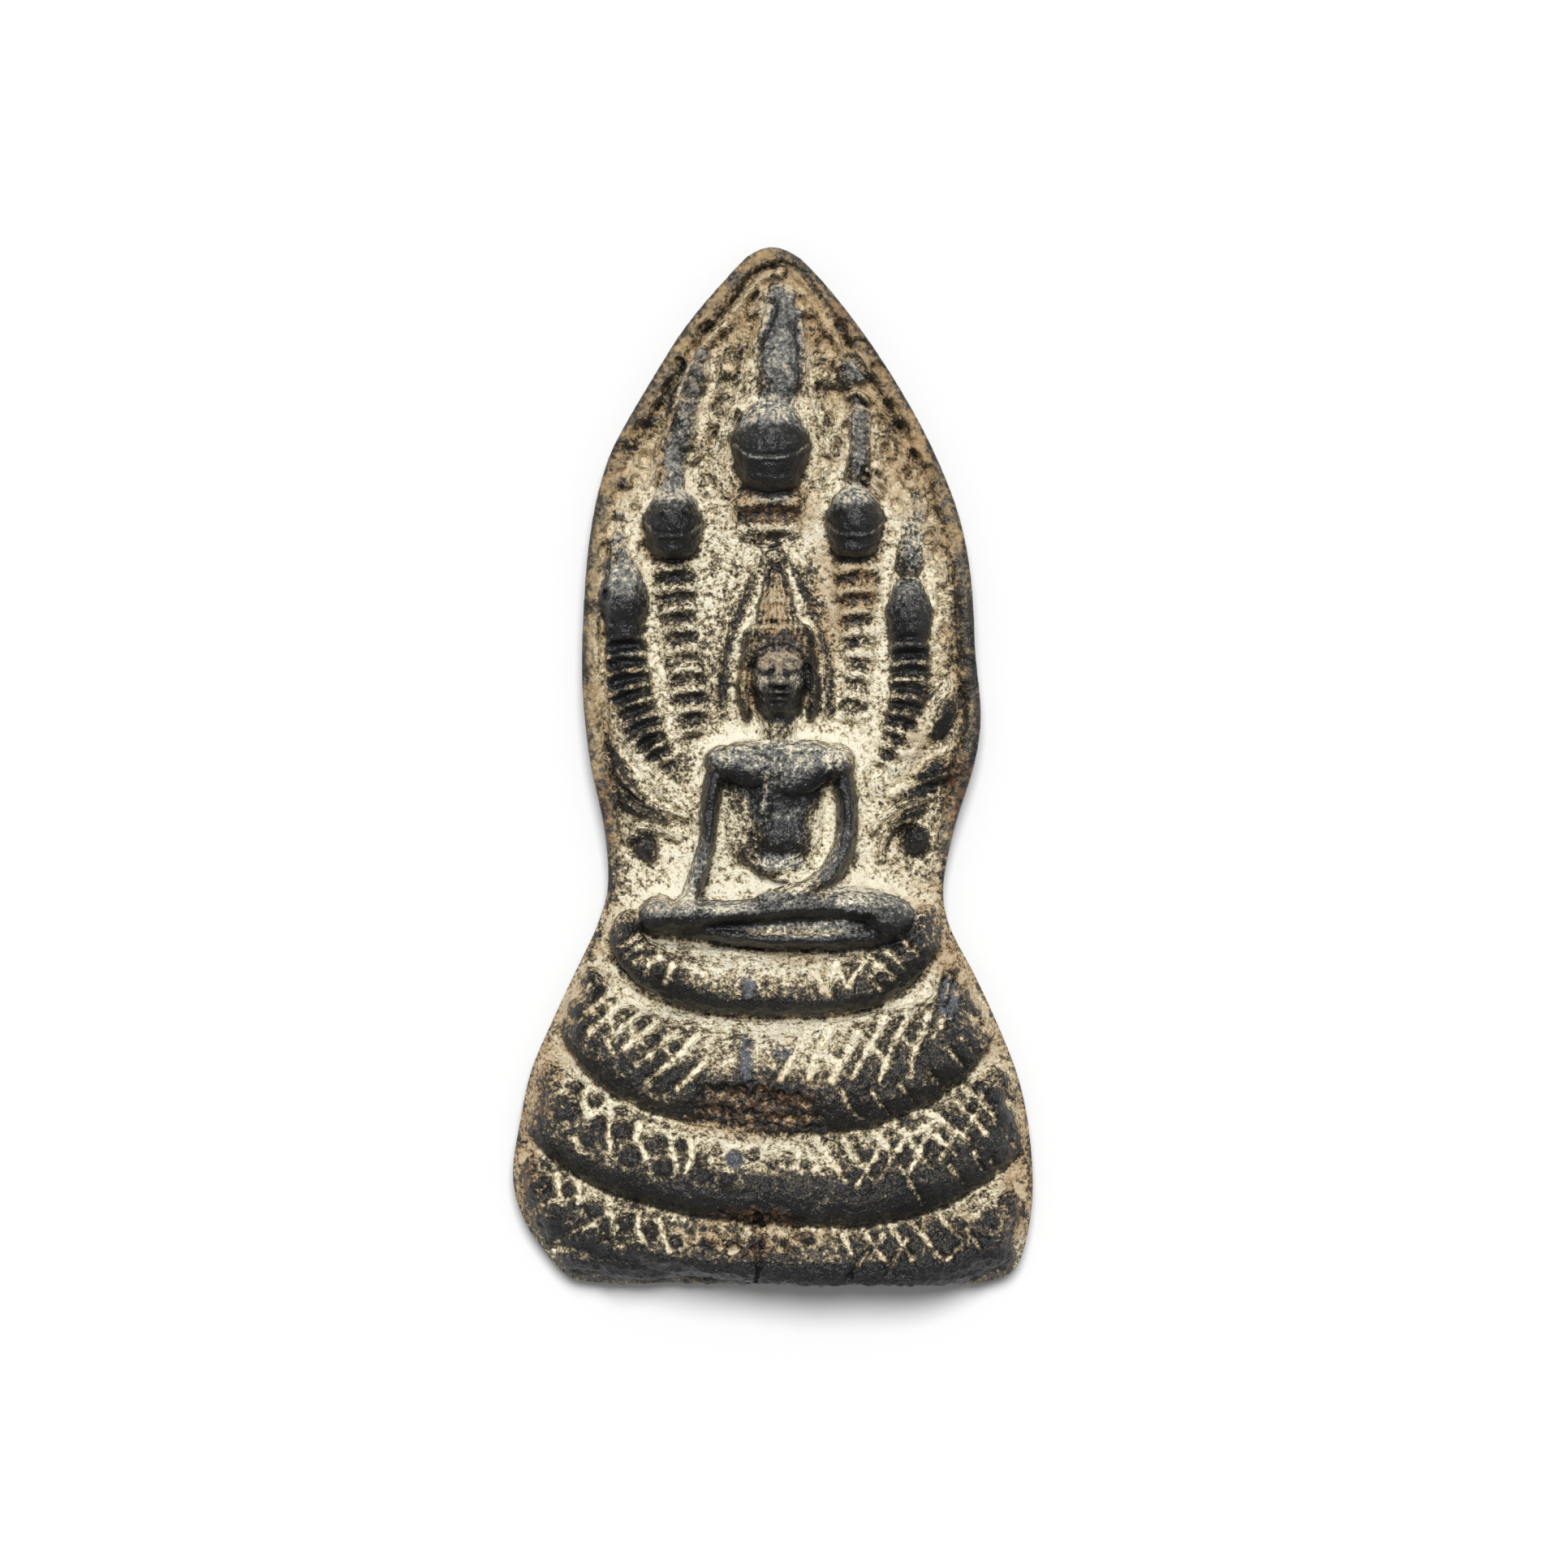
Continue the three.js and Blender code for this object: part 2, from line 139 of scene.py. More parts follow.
def drawn(route, width, rise, steps=16, blunt=6, flat=None, lean=0.0, roundness=3):
    # A form of the relief along a route. width is half its width and rise its height, each a list along the
    # route. blunt says how late its ends taper. It is rooted in the field, unless flat says how tall its
    # section is against its width.
    path, ahead, _ = smoothRoute(route, steps)
    share = np.linspace(0, 1, steps)
    leastFull = 0.015
    full = np.sqrt(np.clip(1 - np.abs(2 * share - 1) ** blunt, leastFull, 1))
    widths = valueAt(width, share) * full
    rises = valueAt(rise, share) * (full if flat is None else 1)
    section = flat or np.mean(rises) / np.mean(widths)
    bpy.ops.curve.primitive_bezier_curve_add()
    form = bpy.context.object
    form.data.splines.clear()
    spline = form.data.splines.new("POLY")
    spline.points.add(steps - 1)
    for knot, (x, y), w, r in zip(spline.points, path, widths, rises):
        knot.co = (*spot(x, y, r / section - w), 1)
        knot.radius = w * unit
    form.data.dimensions = "3D"
    form.data.twist_mode = "Z_UP"
    form.data.bevel_depth = 1
    form.data.bevel_resolution = roundness
    form.data.use_fill_caps = True
    bpy.ops.object.convert(target="MESH")
    form = bpy.context.object
    bpy.ops.object.mode_set(mode="EDIT")
    bpy.ops.mesh.select_all(action="SELECT")
    bpy.ops.transform.resize(value=(1, 1, section), center_override=(0, 0, plate["thickness"]))
    bpy.ops.object.mode_set(mode="OBJECT")
    if lean:
        leanCrest(form, path * unit + np.array([0, -50 * unit]), ahead, widths * unit, lean)
    relief.append(form)
    return form


def leanCrest(form, path, ahead, widths, lean):
    # the upper part of the section moves to the right of the route
    co = meshArray(form.data)
    nearest = np.argmin(((co[:, None, :2] - path[None]) ** 2).sum(-1), axis=1)
    height = co[:, 2] - plate["thickness"]
    top = max(height.max(), 1e-6)
    shift = lean * widths[nearest] * np.clip(height / top, 0, 1)
    co[:, 0] += ahead[nearest, 1] * shift
    co[:, 1] -= ahead[nearest, 0] * shift
    moveMesh(form.data, co)


def boss(x, y, halfWidth, halfHeight, rise, base=0.0, turn=0.0):
    # an oval boss whose middle lies at the height base
    bpy.ops.mesh.primitive_uv_sphere_add(
        segments=20, ring_count=12, radius=1, location=spot(x, y, base), rotation=(0, 0, math.radians(turn)),
        scale=(halfWidth * unit, halfHeight * unit, (rise - base) * unit))
    relief.append(bpy.context.object)


# Plate

plateOutline = plate["left"] + plate["right"][1:]


def outlineBlock(name, count, low, tall):
    # a block over the plate's plan
    path = smoothRoute(plateOutline, count)[0]
    bpy.ops.mesh.primitive_circle_add(vertices=count, radius=1, fill_type="NGON", location=(0, 0, 0))
    block = bpy.context.object
    block.name = name
    for vertex, (x, y) in zip(block.data.vertices, path):
        vertex.co = (x * unit, (y - 50) * unit, low)
    bpy.ops.object.mode_set(mode="EDIT")
    bpy.ops.mesh.select_all(action="SELECT")
    bpy.ops.mesh.extrude_region_move(TRANSFORM_OT_translate={"value": (0, 0, tall)})
    bpy.ops.mesh.select_all(action="SELECT")
    bpy.ops.mesh.normals_make_consistent(inside=False)
    bpy.ops.object.mode_set(mode="OBJECT")
    return block


def roundEdge(slab):
    bevel = slab.modifiers.new("edgeRound", "BEVEL")
    bevel.width = plate["edgeRound"]
    bevel.segments = 3
    bevel.angle_limit = math.radians(50)
    bpy.ops.object.modifier_apply(modifier=bevel.name)


def trim(form, block):
    # cuts off what runs past the plate's edge
    deselectAll()
    bpy.context.view_layer.objects.active = form
    form.select_set(True)
    bpy.ops.object.mode_set(mode="EDIT")
    bpy.ops.mesh.select_all(action="SELECT")
    bpy.ops.mesh.normals_make_consistent(inside=False)
    bpy.ops.object.mode_set(mode="OBJECT")
    cut = form.modifiers.new("trim", "BOOLEAN")
    cut.operation = "INTERSECT"
    cut.object = block
    cut.solver = "EXACT"
    bpy.ops.object.modifier_apply(modifier=cut.name)


deselectAll()
slab = outlineBlock("plate", 260, 0, plate["thickness"])
roundEdge(slab)
trimmer = outlineBlock("trimmer", 200, 0.2, 20)   # from just above the back to far above the relief
outlinePath, outlineAhead, _ = smoothRoute(plateOutline, 400)
print("plate made")


# Rim round the hood, and the fine ridge inside it

rim = {
    "inset": 0.9, "width": 0.95, "rise": 0.7,
    "groove": (1.95, 0.32, 0.42), "line": (2.6, 0.34, 0.38),   # inset, half width, depth or rise
    "from": 40.0, "fade": 6.0,   # no rim below this level, and its lines at full depth this far above it
}


def insetRoute(inset, count):
    above = outlinePath[:, 1] > rim["from"]
    path, ahead = outlinePath[above], outlineAhead[above]
    moved = path + np.stack([ahead[:, 1], -ahead[:, 0]], axis=1) * inset
    return moved[np.linspace(0, len(moved) - 1, count).astype(int)]


drawn(insetRoute(rim["inset"], 40), [rim["width"]], [rim["rise"]], steps=90, blunt=30)


# Coils of the serpent, from the seat down. Each lists the run of its middle line from left to right.

coilLean = 0.26   # how far their crests lean towards the lower edge, as a share of the width
coilTop = 34      # the coils lie below this level
coils = [
    {
        "route": [(-13.2, 36), (-14, 33.2), (-11.2, 30.6), (-5.5, 29.3), (0.5, 29),
                  (7, 29.3), (12, 31), (14.5, 33.8), (14.4, 36.6)],
        "width": [1.3, 1.8, 2.9, 3.3, 3.3, 3.3, 3.0, 1.9, 1.6],
        "rise": [2.6, 4.3, 5, 5.2, 5.2, 5.2, 5, 4.3, 2.8],
    },
    {
        "route": [(-18.4, 32), (-17.9, 26.6), (-14.4, 22.9), (-8, 20.9), (0.5, 20.1),
                  (8, 20.5), (14.2, 22.6), (18.2, 26), (18.6, 32)],
        "width": [2.4, 3.5, 4.7, 5.5, 5.7, 5.6, 5.0, 3.7, 2.3],
        "rise": [0.9, 3.6, 6.2, 6.9, 7.0, 6.9, 6.4, 4.6, 1.2],
    },
    {
        "route": [(-24, 22.4), (-21.6, 18.2), (-16.8, 14.4), (-8.4, 11.7), (0.5, 10.7),
                  (9, 10.9), (16.2, 13.2), (21.6, 16.9), (25, 20.6)],
        "width": [4.4, 4.3, 4.4, 4.5, 4.6, 4.9, 5.0, 5.2, 5.4],
        "rise": [1.4, 3.9, 6.1, 6.95, 7.0, 6.95, 6.4, 4.1, 1.4],
    },
    {
        "route": [(-26.4, 11.4), (-21.8, 8.6), (-15.8, 6), (-8, 4.4), (0.5, 3.5),
                  (9, 3.2), (16, 4), (21.6, 6), (26, 8.6)],
        "width": [5.4, 4.4, 3.4, 3.2, 3.3, 3.5, 3.9, 4.4, 4.6],
        "rise": [1.6, 3.2, 4.8, 5.4, 5.4, 5.4, 5, 3.7, 2.0],
    },
]
for coil in coils:
    body = drawn(coil["route"], coil["width"], coil["rise"], steps=80, blunt=24, lean=coilLean, roundness=8)
    trim(body, trimmer)
tail = drawn([(-21, 2.9), (-15, 2.2), (-7.6, 1.5)], [1.4, 1.8, 1.1], [1.9, 3.5, 2.2], steps=20)
trim(tail, trimmer)
print("coils made")

# Grooves between the scales, as half width, depth and their lines, and the rounded scales of the left ends
scales = {
    "wide": (0.36, 0.55, [
        [(-17.4, 26.5), (-16.2, 27.6), (-15.2, 28.4)], [(-17.6, 24.3), (-15.9, 25.9), (-14.3, 27.3)],
        [(-15.5, 24), (-13.8, 25.3), (-12.4, 26.1)], [(-14.2, 22.8), (-12.6, 24.1), (-11.2, 25.2)],
        [(-13.1, 21.2), (-11.8, 22.2), (-10.2, 23.6), (-9.3, 24.2)],
        [(-11.9, 19.7), (-10.5, 20.9), (-8.6, 22.6), (-7.5, 23.8)],
        [(-9.2, 19), (-7.8, 20.2), (-6.3, 21.7)], [(0.8, 20), (2, 22), (3.3, 23.8)],
        [(3.5, 20), (4.2, 22), (5.5, 24.2)], [(5.7, 19.8), (6.7, 21.6), (8.2, 24.2)],
        [(7.6, 20), (8.8, 22.1), (9.7, 23.6), (10.9, 25.5)],
        [(10.2, 19.7), (10.9, 21.4), (11.4, 22.8), (12.3, 24.5), (13.5, 26.4)],
        [(13.2, 20.2), (13.4, 22), (14.2, 23.9), (15, 26.2)], [(-15, 32.2), (-13, 33.4)],
        [(-15, 31.2), (-14, 31.9), (-12.7, 32.6)], [(-13.9, 30.4), (-12.5, 31.6)],
        [(-12.3, 29.8), (-11.9, 31), (-10.9, 31.3)], [(-10.3, 29.2), (-9.7, 30.6)],
        [(3.9, 30.2), (5.5, 28)], [(9.9, 30.6), (9.2, 29.4), (10.6, 28.2)],
    ]),
    "narrow": (0.29, 0.48, [
        [(8.3, 24.2), (9.4, 23.2), (10.8, 21.7)], [(11.9, 24.2), (13.7, 22.7)], [(4.6, 23.2), (5.9, 21.6)],
        [(6.6, 18.9), (7.2, 17.4), (8.4, 16.1)], [(9.5, 18.8), (10.2, 17.6), (11.2, 16.7)],
        [(12, 19.4), (13.7, 17.6)], [(14.8, 20.8), (16.5, 18.8)], [(16.9, 22.7), (18.3, 20.9)],
        [(18, 23.8), (19.7, 21.8)], [(16.2, 24.8), (16.6, 27.2), (17.2, 29.6)],
        [(17.1, 25.8), (17.7, 28.2), (18.1, 29.8)], [(18.9, 28.7), (20.5, 26.7)],
        [(18.9, 26), (20.2, 24.6)], [(4.2, 14.3), (5.1, 12.8), (7, 10.1)],
        [(6.7, 14.2), (7.8, 12.6), (9.6, 10.3)], [(9.8, 14.8), (11.4, 12.7), (12.9, 10.5)],
        [(12.6, 14.9), (14, 12.8), (15.4, 11.2)], [(14.4, 15.3), (16, 14.2), (17.5, 12.6)],
        [(15.1, 16.5), (16.6, 15.6), (18.8, 14.1)], [(17.7, 17.5), (19.3, 16.1), (20.4, 14.6)],
        [(18.3, 19), (19.8, 17.8), (21.4, 16.1)], [(22.6, 17.6), (24, 16.3)], [(22.2, 14.4), (23.4, 13)],
        [(8, 9.6), (9.2, 11.4), (10, 12.7)], [(10.3, 10.4), (11.4, 12.4), (12.7, 14.1)],
        [(13.1, 10.9), (14, 12.8), (15, 14.9)], [(15.9, 12), (16.8, 13.4), (17.4, 14.6)],
        [(13.2, 14.6), (14.6, 14.9), (15.5, 15.7)], [(18.4, 14.6), (19.4, 16.4), (20, 17.9)],
        [(19.3, 12.8), (20.1, 11.1)], [(17, 11.5), (18.6, 9.4)], [(20.9, 12.2), (21.6, 10.8)],
        [(13, 10.1), (14.3, 8)], [(9, 5), (10, 3.4), (11.3, 1.7)], [(11.3, 5.8), (12.4, 3.9), (13.5, 2.5)],
        [(13.2, 6.1), (14.6, 4.7), (15.6, 3.2), (16.5, 2.2)], [(15.8, 7), (17.3, 5.2), (18.8, 4)],
        [(6.7, 4.9), (7.6, 3), (8.3, 1.7)], [(7.4, 0.9), (9.1, 3.1)], [(16.8, 2.4), (18.6, 4.5)],
        [(9.3, 2.6), (10.6, 4.8)], [(11.6, 2), (12.9, 4.6)], [(18.6, 5.2), (19.9, 3.5)],
        [(-15.6, 17.4), (-15.8, 15.2), (-15.6, 13.4)], [(-12.8, 15.6), (-13.1, 14.2), (-12.1, 12.4)],
        [(-9.9, 14.8), (-9.6, 13.2), (-9, 11.2)], [(-7.8, 13.8), (-7.7, 12.4), (-8.4, 10.8)],
        [(-19.1, 14.1), (-18, 13.2), (-16.7, 13.5)], [(-17.9, 18.8), (-18.1, 17.2), (-17.3, 16.3)],
        [(-20.9, 11), (-20.6, 9.4), (-20.3, 8.4)], [(-18.7, 9.8), (-18.6, 8)],
        [(-15.7, 8.4), (-15.6, 6.6), (-15.1, 4.8)], [(-12.9, 7), (-13, 5.4), (-12.3, 4.2)],
        [(-10.9, 6.2), (-10.4, 4.6), (-9.9, 3.4)], [(-20.8, 4.1), (-18.6, 5.4), (-17.2, 5.9)],
        [(-16.4, 4.3), (-14.6, 3.8)], [(6, 30.6), (7.5, 28.5)], [(9.3, 31.6), (10.9, 30.3), (12.4, 28.9)],
        [(11, 32), (12.5, 30.6), (13.8, 29.6)], [(12.6, 33), (14.3, 31.5)], [(6.9, 28.5), (8.8, 31)],
        [(4.7, 28.3), (6.4, 30.7)], [(-15.7, 27), (-15.4, 24.2)], [(-13.7, 25.2), (-13.2, 23.8)],
        [(-12.8, 23.8), (-11.4, 21.8)], [(-10.6, 23.2), (-9.4, 21.5)], [(-16.2, 24), (-15.3, 22.4)],
    ]),
    # x, y, half width, half height
    "pads": [
        (-19, 19, 0.8, 0.7), (-17.1, 17.9, 0.9, 0.75), (-19.8, 17.2, 1.2, 1.3), (-16.7, 15.5, 0.9, 0.9),
        (-14.3, 15, 1.1, 0.8), (-14.4, 16.8, 0.8, 0.5), (-11.2, 13.7, 1.1, 1), (-8.8, 13.6, 0.7, 0.7),
        (-6.7, 12.6, 0.6, 1.1), (-17.2, 13.8, 1.2, 0.9), (-13.6, 12.6, 1.1, 0.9), (-10.4, 11.4, 0.9, 0.8),
        (-21.9, 9.7, 0.8, 0.8), (-19.6, 9.2, 0.7, 0.7), (-17.3, 7.5, 0.9, 0.8), (-13.9, 6.2, 0.8, 0.8),
        (-11.7, 5.3, 0.7, 0.9), (-9.3, 4.3, 0.7, 0.6), (-15.9, 5.9, 0.7, 0.7), (-21, 6.8, 1.2, 0.9),
        (-13, 3.4, 1.0, 0.7), (-10.6, 2.6, 0.9, 0.6), (-16.9, 28.2, 0.7, 0.6), (-19, 26.6, 0.8, 1),
        (-18.6, 24.4, 0.7, 0.9), (22.4, 16.2, 0.9, 0.8), (21.2, 18.1, 0.8, 0.7), (19.3, 17.1, 0.7, 0.6),
        (20.9, 6.4, 0.9, 0.9), (22.6, 8.3, 0.9, 0.7), (-5.4, 13.1, 0.7, 0.6), (-3.7, 12.4, 0.8, 0.7),
        (-1.9, 12.7, 0.7, 0.6), (-0.2, 12.0, 0.8, 0.7), (1.5, 12.4, 0.7, 0.7), (3.2, 11.9, 0.7, 0.6),
        (-6.3, 10.7, 0.8, 0.6), (-4.3, 10.3, 0.7, 0.6), (-6.1, 4.2, 0.8, 0.6), (3.4, 4.6, 0.8, 0.6),
        (-10.9, 30.4, 0.8, 0.7), (-8.8, 29.9, 0.8, 0.6), (12.6, 16, 0.7, 0.7), (15.1, 13.5, 0.7, 0.6),
    ],
    "padRise": 0.55,
}


# Heads of the serpent. Each has a crest above it and a ribbed throat below it.

heads = [
    {
        "at": (-0.2, 80.7), "size": (4.0, 4.7), "rise": 5.4, "lip": 79.5, "chin": 76.1, "eyes": 0,
        "throat": [(-0.4, 76.6), (-0.4, 74.5), (-0.4, 71.6)], "throatWidth": [4.1, 3.8, 3.4],
        "throatRise": [2.2, 1.3, 0.6], "ribs": 2,
    },
    {
        "at": (-9.6, 73.2), "size": (3.05, 3.6), "rise": 4.4, "lip": 72.0, "chin": 69.7, "eyes": 1.2,
        "throat": [(-9.8, 70), (-9.2, 65), (-8.4, 58.8), (-7.3, 52.4)],
        "throatWidth": [2.9, 2.0, 2.1, 1.9], "throatRise": [2.0, 1.5, 1.4, 1.2], "ribs": 9,
    },
    {
        "at": (7.9, 73.5), "size": (3.05, 3.7), "rise": 4.4, "lip": 72.1, "chin": 69.8, "eyes": 1.0,
        "throat": [(8, 70), (8.2, 65), (8.4, 59.9), (7.4, 53.6)], "throatWidth": [3.0, 2.1, 1.6, 1.4],
        "throatRise": [2.0, 1.2, 0.9, 0.6], "ribs": 8,
    },
    {
        "at": (-14.4, 66.0), "size": (2.5, 4.4), "rise": 3.7, "lip": 64.6, "chin": 61.6, "eyes": 0,
        "throat": [(-14.3, 63), (-13.8, 58), (-12.4, 53.6), (-10.2, 49.6)],
        "throatWidth": [2.4, 2.3, 2.1, 1.7], "throatRise": [2.6, 2.2, 1.8, 1.2], "ribs": 9,
    },
    {
        "at": (13.1, 64.3), "size": (2.4, 4.0), "rise": 3.7, "lip": 63.3, "chin": 60.5, "eyes": 0,
        "throat": [(13.2, 62.4), (13.2, 57.6), (12.2, 53.2), (10.4, 49.4)],
        "throatWidth": [2.3, 2.1, 1.9, 1.5], "throatRise": [2.6, 2.0, 1.6, 1.0], "ribs": 8,
    },
]


hoodLines = []   # ridges to carve later: route, half width, rise, and how pale, where not 1


def makeHead(head):
    x, y = head["at"]
    halfWidth, halfHeight = head["size"]
    rise, lip, chin = head["rise"], head["lip"], head["chin"]
    boss(x, y, 0.95 * halfWidth, halfHeight, 0.97 * rise)
    boss(x, y + 0.04 * halfHeight, halfWidth, 0.72 * halfHeight, rise)
    middle, deep = 0.5 * (lip + chin), 0.5 * (lip - chin)   # of the jaw
    drawn([(x - 0.74 * halfWidth, middle + 0.6), (x, middle), (x + 0.74 * halfWidth, middle + 0.6)],
          [deep * 0.9, deep * 1.05, deep * 0.9], [0.6 * rise, 0.86 * rise, 0.6 * rise])
    if halfWidth > 3:   # the two outer heads are too small for a lip
        lipLine = [(-0.88, 1.3), (-0.5, 0.1), (0.1, -0.1), (0.55, 0.25), (0.9, 1.2)]
        hoodLines.append(([(x + across * halfWidth, lip + up) for across, up in lipLine], 0.16, 0.2, 1.4))
    if head["eyes"]:
        for side in (-1, 1):
            boss(x + side * 0.95 * head["eyes"], lip + 2.3, 0.45, 0.4, 1.04 * rise, 0.7 * rise)


ribs = {"rise": 0.42, "sag": 0.16, "endFade": 0.8, "steps": 60}   # sag is how far their ends hang, in ribs


def ribWave(x, y, head):
    # across a throat, 1 on top of each rib and -1 between two, fading to 0 at its sides
    path, ahead, length = smoothRoute(head["throat"], ribs["steps"])
    wave = np.zeros(len(x))
    low, high = path.min(0) - 3, path.max(0) + 3
    index = np.flatnonzero((x > low[0]) & (x < high[0]) & (y > low[1]) & (y < high[1]))
    spots = np.stack([x[index], y[index]], axis=1)
    nearest = np.argmin(((spots[:, None] - path[None]) ** 2).sum(-1), axis=1)
    off = spots - path[nearest]
    share = nearest / (ribs["steps"] - 1)
    along = share * length + (off * ahead[nearest]).sum(1)
    aside = off[:, 0] * ahead[nearest, 1] - off[:, 1] * ahead[nearest, 0]
    aside /= valueAt(head["throatWidth"], share)
    topEnd, lowEnd = (np.clip(reach / ribs["endFade"] + 0.5, 0, 1) for reach in (along, length - along))
    inside = np.clip(1.15 - aside ** 4, 0, 1) * topEnd * lowEnd
    turns = along / length * head["ribs"] - ribs["sag"] * aside ** 2 + 0.5
    wave[index] = inside * np.cos(2 * math.pi * turns)
    return wave


for head in heads:
    makeHead(head)
    drawn(head["throat"], [0.95 * w for w in head["throatWidth"]], [0.8 * t for t in head["throatRise"]],
          steps=30, blunt=10)
print("heads made")


# Crests over the heads: columns as (route, half widths, rises), the leaf under the middle one, and the
# knobs on them as (x, y, half width, half height, rise)

crests = {
    "middle": (
        [(0.2, 96.9), (0.5, 95.4), (1.0, 93.6), (0.9, 91.6), (0.8, 89.6), (0.8, 87.6),
         (0.4, 85.6), (0.1, 84.2)],
        [1.1, 1.5, 1.9, 2.3, 2.5, 2.6, 2.4, 2.7], [1.5, 2.0, 2.5, 2.7, 2.8, 2.8, 2.9, 3.6]),
    "knobs": [
        (-6.8, 89.4, 1.0, 1.2, 1.35), (-7.3, 87.6, 1.0, 0.9, 1.6), (-7.6, 86.0, 1.2, 0.8, 1.7),
        (-8.2, 84.5, 1.1, 0.9, 1.75), (-8.6, 82.9, 1.0, 0.9, 1.85), (-9.1, 81.2, 1.2, 0.9, 1.95),
        (-9.4, 79.6, 1.2, 0.9, 2.1), (-9.8, 77.9, 1.0, 1.0, 2.5),
        (7.8, 87.9, 1.7, 2.1, 1.6), (8.2, 85.2, 1.1, 0.7, 1.6), (8.3, 83.4, 0.9, 0.9, 1.7),
        (8.5, 81.0, 0.8, 0.9, 1.9), (8.4, 79.0, 0.9, 0.8, 2.3),
        (-14.4, 77.3, 1.1, 0.9, 1.1), (-15.0, 74.2, 0.9, 0.7, 1.1), (-14.9, 71.9, 0.95, 0.8, 1.5),
        (-14.8, 70.1, 1.1, 0.7, 2.0),
        (14.1, 76.0, 0.9, 1.0, 1.2), (13.9, 73.9, 1.0, 0.8, 1.4), (13.4, 72.0, 1.0, 0.8, 1.6),
        (13.2, 70.2, 1.1, 0.8, 2.1),
    ],
    "columns": [
        ([(-6.6, 91), (-7.1, 89), (-7.7, 86.8), (-8.6, 84.2), (-9.1, 81.8), (-9.7, 79.4), (-9.9, 77.4),
            (-9.8, 75.6)], [0.9, 1.4, 1.6, 1.6, 1.7, 1.6, 1.5, 2.1],
            [0.8, 1.1, 1.3, 1.4, 1.5, 1.7, 2.2, 3.2]),
        ([(8.2, 85.8), (8.3, 84), (8.5, 82), (8.4, 80), (8.2, 78.2), (8.0, 76.8)],
            [1.5, 1.3, 1.1, 1.2, 1.3, 2.0], [1.2, 1.4, 1.5, 1.7, 2.2, 3.2]),
        ([(-14.8, 72.8), (-15, 70.8), (-14.8, 69), (-14.5, 67.6)], [1.2, 1.4, 1.6, 2.1],
            [1.1, 1.5, 2.1, 3.0]),
        ([(14.1, 76.9), (13.9, 74.6), (13.4, 72), (13.2, 70), (13, 68.2)], [1.0, 1.3, 1.3, 1.4, 1.8],
            [0.9, 1.1, 1.3, 1.8, 2.6]),
    ],
    "leaf": ([(0.8, 98), (0.5, 91), (0, 85), (-0.3, 77.5)], [1.4, 3.0, 4.6, 4.6], [0.6, 0.6, 0.6, 0.5]),
}
drawn(*crests["middle"], steps=24, blunt=5, roundness=5)
drawn(*crests["leaf"], steps=20)
for route, width, rise in crests["columns"]:
    drawn(route, width, rise, steps=20)
for x, y, w, h, r in crests["knobs"]:
    boss(x, y, w, h, r, turn=random.uniform(-25, 25))

# Raised lines of the hood, each between two fine grooves
hoodLines += [
    ([(0.8, 97.6), (-0.5, 97.3), (-1.8, 96.5), (-3.1, 94.5), (-4.1, 92.9), (-5.7, 91.35), (-7, 90.9)],
        0.36, 0.75),
    ([(0.8, 97.6), (2.4, 96.8), (3.7, 95), (5, 93.4), (6.2, 91.4), (6.8, 90)], 0.36, 0.75),
    ([(6.3, 88.4), (6.7, 89.4), (7.6, 89.9), (8.7, 89.2), (9.3, 87.8)], 0.26, 1.0),
    ([(-0.4, 94), (-1, 92.4), (-1.8, 90.6), (-2.6, 88.5), (-3.1, 86.4), (-4.1, 83.3), (-5.2, 81.2),
        (-5.5, 78.9), (-4.4, 76.4)], 0.34, 0.95),
    ([(2.9, 92.4), (3.2, 90), (3.3, 87.5), (4, 84.4), (5.1, 81.8), (5.3, 79.2), (4.5, 76.8)], 0.34, 0.95),
    ([(-8, 88.5), (-8.9, 85.9), (-9.7, 83.8), (-10.6, 81.2), (-11.2, 78.9), (-12.2, 76.8)], 0.26, 0.9),
    ([(-8.5, 80.7), (-7.6, 80.9), (-7.1, 80), (-7.9, 79.2)], 0.24, 1.6),
    ([(7, 85.5), (8.2, 85.9), (9.3, 84.9)], 0.22, 1.5),
    ([(9.1, 78.4), (10.9, 76.8)], 0.2, 1.2),
    ([(8.8, 77.6), (10.6, 76)], 0.2, 1.2),
    ([(10.2, 79.9), (10.5, 81.2), (11.4, 80.9), (11.5, 79.7)], 0.2, 0.9),
    ([(12.2, 78.5), (13.2, 76.8), (13.9, 78.2)], 0.2, 0.9),
    ([(-17.1, 63.4), (-16.8, 60.4), (-16.1, 57.2), (-15, 54.1), (-13.5, 51.2), (-11.6, 48.6), (-9.6, 46.6),
        (-7.6, 45)], 0.7, 1.2),
    ([(18.2, 58.6), (16.7, 56.6), (15.2, 54.2), (13.7, 51.8), (12.2, 49.8), (10.6, 48)], 0.7, 1.1),
    ([(-14.9, 49.4), (-13.3, 47.4), (-11, 45.9), (-8.4, 44.9)], 0.26, 1.3),
    ([(-13.9, 42.6), (-13.1, 43.9), (-11.3, 43.7), (-9, 42.9)], 0.28, 1.5),
    ([(17.9, 49.4), (15.6, 48.6), (13.2, 47.9), (11.4, 46.9)], 0.26, 1.3),
    ([(15.3, 46.9), (12.6, 46.2), (10.6, 44.9), (9.6, 43.6)], 0.26, 1.2),
    ([(13.4, 44.6), (11.6, 43.9), (10.6, 42.4), (10.4, 40.9)], 0.26, 1.1),
    ([(-0.6, 49.0), (-0.7, 47.4), (-1.0, 45.4)], 0.26, 0.35),   # sash
]

